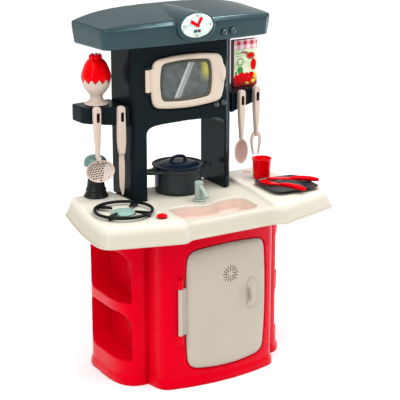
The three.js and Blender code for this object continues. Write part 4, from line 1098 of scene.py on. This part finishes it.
def utensil_handle(half):
    """A thick handle with a hanging slot, tapering to a neck."""
    top = bezier([(10.5, 752), (9.5, HANDLE_TOP_Z), (2, HANDLE_TOP_Z)], 12)
    edge = [(0, 3.2), (0.7, 1.6), (2.6, 0.2)]
    d = HANDLE_DEPTH / 2
    levels = [(y - d, step) for y, step in edge] + [(d - y, step) for y, step in reversed(edge)]
    slot = rounded((-4.5, 4.5), (SLOT_LOW, PEG["z"] + PEG["radius"] + GAP), 4, 8)
    return cut(loft_y(mirrored(list(half) + top), levels), along_y(slot, (-30, 30)))


HANDLE_TAPER = [(4, 618), (5.2, 640), (7, 660), (9, 690), (10, 715), (10.5, 735)]


def hung(parts, place, voxel=0.8):
    x, y = UTENSILS[place]
    return placed(soften(join(*parts), voxel, 4, 0.6), at=(x, y, 0))


HOLE_GRID = [(i * 8 + (j % 2) * 4, j * 8.4) for i in range(-4, 5) for j in range(-4, 5)]
STRAINER_HOLES = [(x, y) for x, y in HOLE_GRID if math.hypot(x, y) < 34]
STRAINER_SQUASH, STRAINER_TILT, STRAINER_CENTRE = (1.07, 0.74, 1), math.pi / 2 - 0.26, (-3, -6, 584)
SPOON_BOWL = dict(z=583, hollow=(20.5, 34))


def in_strainer_hole(face):
    """Whether a face of the skimmer is part of the wall of a hole."""
    x, y = UTENSILS["skimmer"]
    back = Matrix.Rotation(-STRAINER_TILT, 3, "X")
    local = back @ (face.center / MM - Vector((x, y, 0)) - Vector(STRAINER_CENTRE))
    if abs((back @ face.normal).z) > 0.75:
        return False
    px, py = local.x / STRAINER_SQUASH[0], local.y / STRAINER_SQUASH[1]
    return any(math.hypot(px - hx, py - hy) < 3.2 for hx, hy in STRAINER_HOLES)


def skimmer():
    handle = utensil_handle(HANDLE_TAPER)
    profile = [(0, 0), (8, 0.3), (16, 1.2), (23, 2.6), (29, 4.6), (34, 7), (38, 10), (40.4, 12.2), (41, 13.4),
               (41, 14.6), (40, 15.5), (38.6, 14.6), (36, 12.2), (32, 9.4), (28, 7.2), (22, 5.2), (15, 3.8),
               (8, 2.9), (0, 2.6)]
    bowl = turned(profile, sides=96)
    cut(bowl, join(*[rod(2.3, x, y, (-5, 25), 16) for x, y in STRAINER_HOLES]))
    bowl.data.transform(Matrix.Diagonal((*STRAINER_SQUASH, 1)))
    placed(bowl, STRAINER_TILT, "X", STRAINER_CENTRE)
    return hung([handle, bowl, box((-3.6, 3.6), (-15, 2), (609, 625))], "skimmer", 0.7)


def kitchen_knife():
    handle = utensil_handle([(7, 628), (9.6, 640), (11.6, 665), (11.6, 700), (10.8, 735)])
    outline = (
        bezier([(-6.5, 632), (-9.8, 622), (-10, 590), (-9, 560)], 8)
        + bezier([(-8.6, 540), (-5, 522), (0, 510)], 8)
        + bezier([(4, 513), (7.5, 530), (9, 560), (9, 600)], 10) + [(7, 632)])
    blade = loft_y(outline, [(-2.5, 2.4), (-1.2, 0.3), (1.2, 0.3), (2.5, 2.4)])
    return hung([handle, blade], "kitchen_knife")


def serving_spoon():
    handle = utensil_handle(HANDLE_TAPER)
    z, (across, up) = SPOON_BOWL["z"], SPOON_BOWL["hollow"]
    bowl = cut(sphere((0, -2, z), (23, 10, 37), 64), box((-30, 30), (-20, -3), (500, 660)),
               sphere((0, -5, z), (across, 9, up), 64))
    return hung([handle, bowl, box((-3.4, 3.4), (-3, 3), (612, 630))], "serving_spoon")


def carving_fork():
    handle = utensil_handle(HANDLE_TAPER)
    half = ([(3.5, 634), (5, 630)] + bezier([(8, 628), (16, 622), (19.5, 612), (19.5, 604)], 8)
            + bezier([(18.4, 590), (15, 572), (11.6, 558), (9, 553), (7.4, 558)], 8)
            + bezier([(7.8, 572), (10.5, 590), (10, 606)], 8) + [(6, 613)])
    prongs = flat_part(half[::-1], 2.5)
    return hung([handle, prongs], "carving_fork", 0.7)


def in_slot(face, x):
    """Whether a face is part of the wall of the hanging slot of a utensil at x."""
    height = face.center.z / MM
    in_reach = SLOT_LOW - 2 < height < PEG["z"] + 2 * PEG["radius"]
    return in_reach and abs(face.center.x / MM - x) < 5.2 and abs(face.normal.y) < 0.6


def in_spoon_hollow(face):
    across = (face.center.x / MM - UTENSILS["serving_spoon"][0]) / (SPOON_BOWL["hollow"][0] - 1)
    up = (face.center.z / MM - SPOON_BOWL["z"]) / (SPOON_BOWL["hollow"][1] - 1)
    return across ** 2 + up ** 2 < 1 and face.normal.y < 0


def paint(obj, material, chosen):
    """Gives a second material to the chosen faces."""
    obj.data.materials.append(material)
    for face in obj.data.polygons:
        if chosen(face):
            face.material_index = len(obj.data.materials) - 1


for name, obj in (("skimmer", skimmer()), ("kitchen_knife", kitchen_knife()),
                  ("serving_spoon", serving_spoon()), ("carving_fork", carving_fork())):
    moulding = piece(obj, f"{name}_moulding", name, PINK_BEIGE, name)
    # painted shade on the walls of the hanging slot, and of the skimmer's strainer holes
    paint(moulding, SLOT_SHADE, lambda face: in_slot(face, UTENSILS[name][0]) or (
        name == "skimmer" and face.center.z / MM < 625 and in_strainer_hole(face)))
    # painted shade in the spoon's hollow
    if name == "serving_spoon":
        paint(moulding, SPOON_HOLLOW_SHADE, in_spoon_hollow)


# --- pot, mill, egg, cup, plate, carton

def pot():
    r, h = POT["radius"], POT["height"]
    foot = shift([(-7, 0.4), (-3.6, 1.6), (-1.4, 4.4), (0, 9)], r)
    rim = [(0, -14), (0.6, -12.4), (3.6, -11.2), (4.4, -10), (4.5, -2), (4.2, -0.6), (3, 0), (-3, 0)]
    inside = shift([(-4, 12), (-6, 8), (-10, 5)], r)
    profile = [(0, 0.4), *foot, *shift(rim, r, h), *inside, (0, 4.4)]
    ears = []
    for side in (-1, 1):
        def moved(points):
            return [(POT["x"] + side * (r - 1 + py), POT["y"] - side * px) for px, py in points]
        ear = moved(mirrored([(33, -8)] + bezier([(25, 8), (22, 41), (5, 41)], 14)))
        hole = moved(rounded((-10, 10), (15, 30), (7, 7, 3, 3)))
        z = DECK_Z + h - 14
        ears.append(cut(prism(ear, shift([(0, 1.6), (1.2, 0.2), (6.8, 0.2), (8, 1.6)], z)),
                        prism(hole, [(z - 5, 0), (z + 13, 0)])))
    body = join(turned(profile, x=POT["x"], y=POT["y"], z=DECK_Z, sides=120), *ears)
    cut(body, rod(r - 4.5, POT["x"], POT["y"], (DECK_Z + 14, DECK_Z + h + 5), 96))
    return soften(body, 1.4, 3, 0.7)


def pot_lid():
    r = POT["radius"]
    edge = [(-8, -3.4), (-6, -3.6), (-5, -3.2), (-5, 0.5), (6.6, 0.5), (7.6, 1.1), (8, 2.2), (7.4, 3.6),
            (6, 4.4), (3.6, 4.6), (1.6, 4), (-0.6, 2.4), (-3, 1.6), (-7, 1.6), (-10, 2.4), (-14, 4.2),
            (-24, 7.6)]
    profile = [(0, 1), *shift(edge, r), (30, 10), (27, 10.4), (25.6, 11.2), (23, 11.6), (12, 11.5), (0, 11.5)]
    z = DECK_Z + POT["height"] + 0.1
    dome = turned(profile, x=POT["x"], y=POT["y"], z=z, sides=120)
    path = [(POT["x"] + x, POT["y"], z + rise)
            for x, rise in [(-24, 7), (-23, 13.5), (-17.5, 21.4), (0, 25), (17.5, 21.4), (23, 13.5), (24, 7)]]
    loop = tube(path, [5.6, 4.8, 4.4, 4.4, 4.4, 4.8, 5.6], 24)
    return soften(join(dome, loop), 1.3, 3, 0.8)


def mill_body():
    profile = [(0, 0.4), (31.6, 0.4), (33.4, 1), (34, 2.4), (33.8, 4.4), (32.6, 6.2), (30.6, 7.2),
               (30.2, 9.4), (30, 12), (28.4, 14), (27.6, 15.4), (27.6, 17), (28.8, 18.6), (29, 20.6),
               (27.6, 22.8), (25.6, 27), (24.4, 33), (23.2, 44), (22.2, 56), (22.1, 66), (22.6, 74),
               (23.6, 77.4), (24, 79), (23.4, 80.6), (22.4, 81.4), (22.6, 83.4), (21.8, 84), (0, 84)]
    return turned(profile, z=WING_Z, sides=96, **MILL)


def mill_top():
    dome = [(9 + 23 * math.cos(a), 97 + 20 * math.sin(a)) for a in (i * math.pi / 28 for i in range(14))]
    profile = [(0, 84.4), (22.6, 84.4), (24, 84.8), (25.4, 86), (29.4, 88), (31.8, 90), (32.8, 92.4),
               (32.6, 93.6), (31.6, 94.4), (31.6, 95.4), *dome, (8.4, 117.2), (6, 117.8), (0, 118)]
    return turned(profile, z=WING_Z, sides=96, **MILL)


def zigzag(angle):
    """A triangle wave from -1 to 1, once for each tooth round the egg."""
    return 1 - 4 * abs((angle * EGG["teeth"] / (2 * math.pi)) % 1 - 0.5)


def toothed(profile, sides=144):
    """A turned profile of (radius, height, share): share is how far a ring follows the zigzag edge."""
    obj = turned([(r, h) for r, h, *_ in profile], sides=sides)
    k = 0
    for radius, _, *share in profile:
        for i in range(1 if radius < 1e-6 else sides):
            v = obj.data.vertices[k].co
            wave = sum(share) * EGG["tooth_depth"] * zigzag(2 * math.pi * i / sides)
            v.x *= 1 + 0.2 * wave / max(radius, 1)
            v.y *= 1 + 0.2 * wave / max(radius, 1)
            v.z += wave * MM
            k += 1
    return placed(obj, at=(EGG["x"], EGG["y"], SHELF_Z))


def egg_cup():
    return toothed([
        (0, 0.4), (31.4, 0.4), (33, 1.2), (33.5, 2.5), (33, 3.8), (31, 5), (25.6, 8.4), (21, 12), (18, 16),
        (17, 20), (17, 24), (18.4, 27), (21.6, 31), (26, 36), (30.6, 41.4), (34.2, 47), (36.8, 53, 0.15),
        (38.4, 58.6, 0.5), (39.5, 64, 0.9), (39.9, 67.4, 1), (38.2, 67.4, 1), (35.6, 60, 0.6),
        (32.4, 53.6, 0.1), (28.4, 48), (20, 40), (11, 36.4), (0, 35.6)])


def egg_top():
    shell = toothed([
        (0, 37.6), (11, 38.8), (20, 42.8), (28, 51), (32.2, 57, 0.2), (35.4, 63.4, 0.6), (37.4, 68.8, 1),
        (40.2, 68.8, 1), (41, 73, 0.8), (41.2, 78, 0.3), (40.6, 83, 0.1), (39.4, 88), (37.5, 93), (35.2, 100),
        (32.8, 106.4), (29.4, 113.4), (25.6, 119), (21.4, 123.4), (16.8, 126.6), (13.4, 128), (12.8, 130),
        (13.4, 133), (9, 137), (0, 137.6)])
    crown = []
    for i in range(EGG["lobes"]):
        x, y = polar(12.4, 2 * math.pi * i / EGG["lobes"], EGG["x"], EGG["y"])
        crown.append(sphere((x, y, SHELF_Z + 130.6), (6.4, 6.4, 8.6), 24))
    return soften(join(shell, *crown), 0.9, 2, 0.6)


def cup():
    h = CUP_HEIGHT
    profile = [(0, 0.4), (21.6, 0.4), (23, 0.9), (23.8, 2), (24.2, 3.4), (25, 13), (27.8, h - 4),
               (28.2, h - 3.2), (29, h - 2.6), (29.4, h - 1.4), (29.1, h - 0.4), (28.4, h), (27.2, h),
               (26.6, h - 0.6), (22.6, 6), (21, 4), (16, 3.2), (0, 3)]
    return turned(profile, z=WING_Z, sides=96, **CUP)


def plate():
    half = PLATE["size"] / 2
    outline = rounded((-half, half), (-half, half), PLATE["corner"], 14)
    dish = cut(
        prism(outline, [(GAP, 24), (3, 20), (8, 4.4), (9.4, 1.4), (10.2, 0.2), (11, 0)]),
        prism(outline, [(3, 25), (3.6, 22.6), (5, 21), (8.8, 4.8), (9.8, 3), (10.6, 2), (12, 1.5)]))
    return placed(soften(dish, 1.15, 3, 0.6), PLATE["turn"], "Z", (PLATE["x"], PLATE["y"], WING_Z))


def cutlery(half, start, end, grip, sweep=0, slots=()):
    """A flat outline along +X with a thick oval grip, bent sideways by sweep and laid across the plate."""
    flat = [(x, y) for x, y in half] + [(x, -y) for x, y in reversed(half)]
    body = prism(flat, [(-1, 1), (-0.5, 0.3), (0.4, 0), (2.6, 0), (3.5, 0.3), (4, 1)])
    middle, length, width, depth = grip
    join(body, sphere((middle, 0, depth / 2 - 1), (length / 2, width / 2, depth / 2), 48))
    if slots:
        cut(body, *[box((-8, 32), (y - 1.7, y + 1.7), (-20, 20)) for y in slots])
    soften(body, 0.8, 4, 0.7)
    for v in body.data.vertices:
        near = max(0, 30 - v.co.x / MM) / 30
        v.co.z += 3.5 * near * near * MM * bool(slots)
        v.co.y += sweep * (1 - ((v.co.x / MM - 75) / 75) ** 2) * MM
    return placed(body, math.atan2(end[1] - start[1], end[0] - start[0]), "Z", (*start, WING_Z + 12 + GAP))


def table_knife():
    half = (bezier([(0, -2), (2, -6), (14, -9), (30, -9)], 8) + [(50, -9), (64, -9)]
            + bezier([(67, -9), (69, -6.6), (78, -7)], 5)
            + bezier([(100, -8), (126, -8), (149, -7.4), (149, -2)], 12))
    return cutlery(half, (236, 12), (352, -84), (108, 86, 20, 13), 7)


def table_fork():
    half = (bezier([(0, -12.6), (14, -13.8), (36, -14), (44, -8.6)], 10)
            + bezier([(52, -3.6), (62, -4.8), (84, -6), (92, -6.2)], 8)
            + bezier([(116, -7.4), (144, -7.6), (145, -2)], 12))
    return cutlery(half, (206, -6), (262, -136), (103, 88, 19, 12.5), slots=(-7, 0, 7))


def carton():
    x, y = FOOD_BOX["x"], FOOD_BOX["y"]
    low, high = SHELF_Z + GAP, SHELF_Z + FOOD_BOX["height"]
    flap = box((x[0] + 2, x[1] - 2), (y[0] + 8.6, y[0] + 9.2), (high - 1.2, high + 2))
    return cut(soften(box(x, y, (low, high)), 1.3, 2, 0.4), flap)


def printed(shapes, rise=0.35):
    """Flat domes standing off the carton's front: (x, height, half width, half height) from its corner."""
    x0, y0 = FOOD_BOX["x"][0], FOOD_BOX["y"][0]
    return join(*[sphere((x0 + x, y0, SHELF_Z + z), (w, rise, h), 24) for x, z, w, h in shapes])


piece(pot(), "pot_shell", "pot", CHARCOAL, "pot")
piece(pot_lid(), "lid_shell", "pot_lid", LID_NAVY, "pot_lid")
piece(mill_body(), "mill_lower", "mill_body", MILL_BLACK, "mill_body", sharp=60)
piece(mill_top(), "mill_dome", "mill_top", MILL_GREEN, "mill_top", sharp=60)
piece(egg_cup(), "egg_holder", "egg_cup", PINK_BEIGE, "egg_cup", sharp=40)
piece(egg_top(), "egg_shell", "egg_top", RED_TRIM, "egg_top", sharp=60)
piece(cup(), "beaker", "cup", RED_TRIM, "cup", sharp=60)
piece(plate(), "dish", "plate", CHARCOAL, "plate")
piece(table_knife(), "knife_moulding", "table_knife", RED_CUTLERY, "table_knife")
piece(table_fork(), "fork_moulding", "table_fork", RED_CUTLERY, "table_fork")
piece(carton(), "carton", "food_box", CARD, "food_box", sharp=30)
PRINTS = (
    ("tomatoes", RED_TRIM, [(10, 26, 9, 10), (26, 33, 10, 11), (44, 30, 10, 10), (60, 32, 9, 9),
                            (36, 20, 9, 8), (18, 15, 9, 8), (54, 17, 9, 8), (67, 62, 10, 17)]),
    ("leaves", LEAF, [(22, 48, 10, 11), (8, 40, 4, 5)]),
    ("yellow", YELLOW, [(66, 14, 8, 6), (73, 30, 5, 8), (46, 9, 7, 4), (76, 20, 3, 6)]),
    ("spoon", SPOON_WOOD, [(57, 88, 15, 10.5), (36, 99, 12, 3), (46, 94, 8, 3.4)]))
for word, material, shapes in PRINTS:
    piece(printed(shapes), f"print_{word}", "food_box", material)
piece(printed([(57, 88.6, 12.5, 8)], 0.5), "print_sauce", "food_box", RED_TRIM)

for name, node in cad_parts.items():
    if not node.hide_render:
        node.data.materials.clear()
        node.data.materials.append(STEEL)


# --- floor, light and camera

def studio_floor():
    edge = 40000
    floor = mesh_object([(x, y, 0) for x, y in rectangle((-edge, edge), (-edge, edge))], [(0, 1, 2, 3)])
    f = Finish("studio_white")
    paper = f.ramp(f.noise(0.6, 3), 0.3, 0.7)
    colour = f.mix(paper, shade(WHITE, 0.93), shade(WHITE, 0.96))
    f.surface(Base_Color=colour, Roughness=0.95, Specular_IOR_Level=0.1)
    floor.name = floor.data.name = "studio_floor"
    floor.data.materials.append(f.material)


def towards(heading, height):
    """A direction from its heading (degrees clockwise from +Y) and its height above the horizon."""
    turn, lift = math.radians(heading), math.radians(height)
    return Vector((math.sin(turn) * math.cos(lift), math.cos(turn) * math.cos(lift), math.sin(lift)))


def aimed(name, data, direction, at=(0, 0, 0)):
    obj = linked(name, data)
    obj.location = at
    obj.rotation_euler = direction.to_track_quat("-Z", "Y").to_euler()
    return obj


def softbox(name, at, target, size, power, tint):
    light = bpy.data.lights.new(name, "AREA")
    light.shape = "RECTANGLE"
    light.size, light.size_y = size
    light.energy = power
    light.color = tint
    aimed(name, light, Vector(target) - Vector(at), at)


def sunlight(name, heading, height, strength, spread):
    """Parallel light that comes from a heading and a height."""
    light = bpy.data.lights.new(name, "SUN")
    light.energy = strength
    light.angle = math.radians(spread)
    aimed(name, light, -towards(heading, height))


studio_floor()
sunlight("sun", 236, 62, 1.95, 60)
softbox("strip_left", (-2.4, -1.2, 1.6), (0, 0, 0.7), (0.25, 1.6), 20, (0.85, 0.92, 1))
softbox("strip_top", (1.05, -0.55, 2.7), (0, 0, 0.9), (2.2, 0.2), 40, (0.9, 0.97, 1))
softbox("strip_right", (2.4, -0.45, 0.6), (0, 0, 0.6), (0.1, 1.1), 16, (0.8, 0.9, 1))

scene = bpy.context.scene
scene.world = bpy.data.worlds.new("studio")
scene.world.use_nodes = True
background = scene.world.node_tree.nodes["Background"]
background.inputs["Color"].default_value = WHITE
background.inputs["Strength"].default_value = 0.6
scene.view_settings.view_transform = "Standard"

lens = bpy.data.cameras.new("camera")
lens.sensor_width, lens.lens, lens.clip_end = 36, 121.8, 500
scene.camera = aimed("camera", lens, towards(31.481, -16.832), (-1.871, -3.0637, 1.5745))
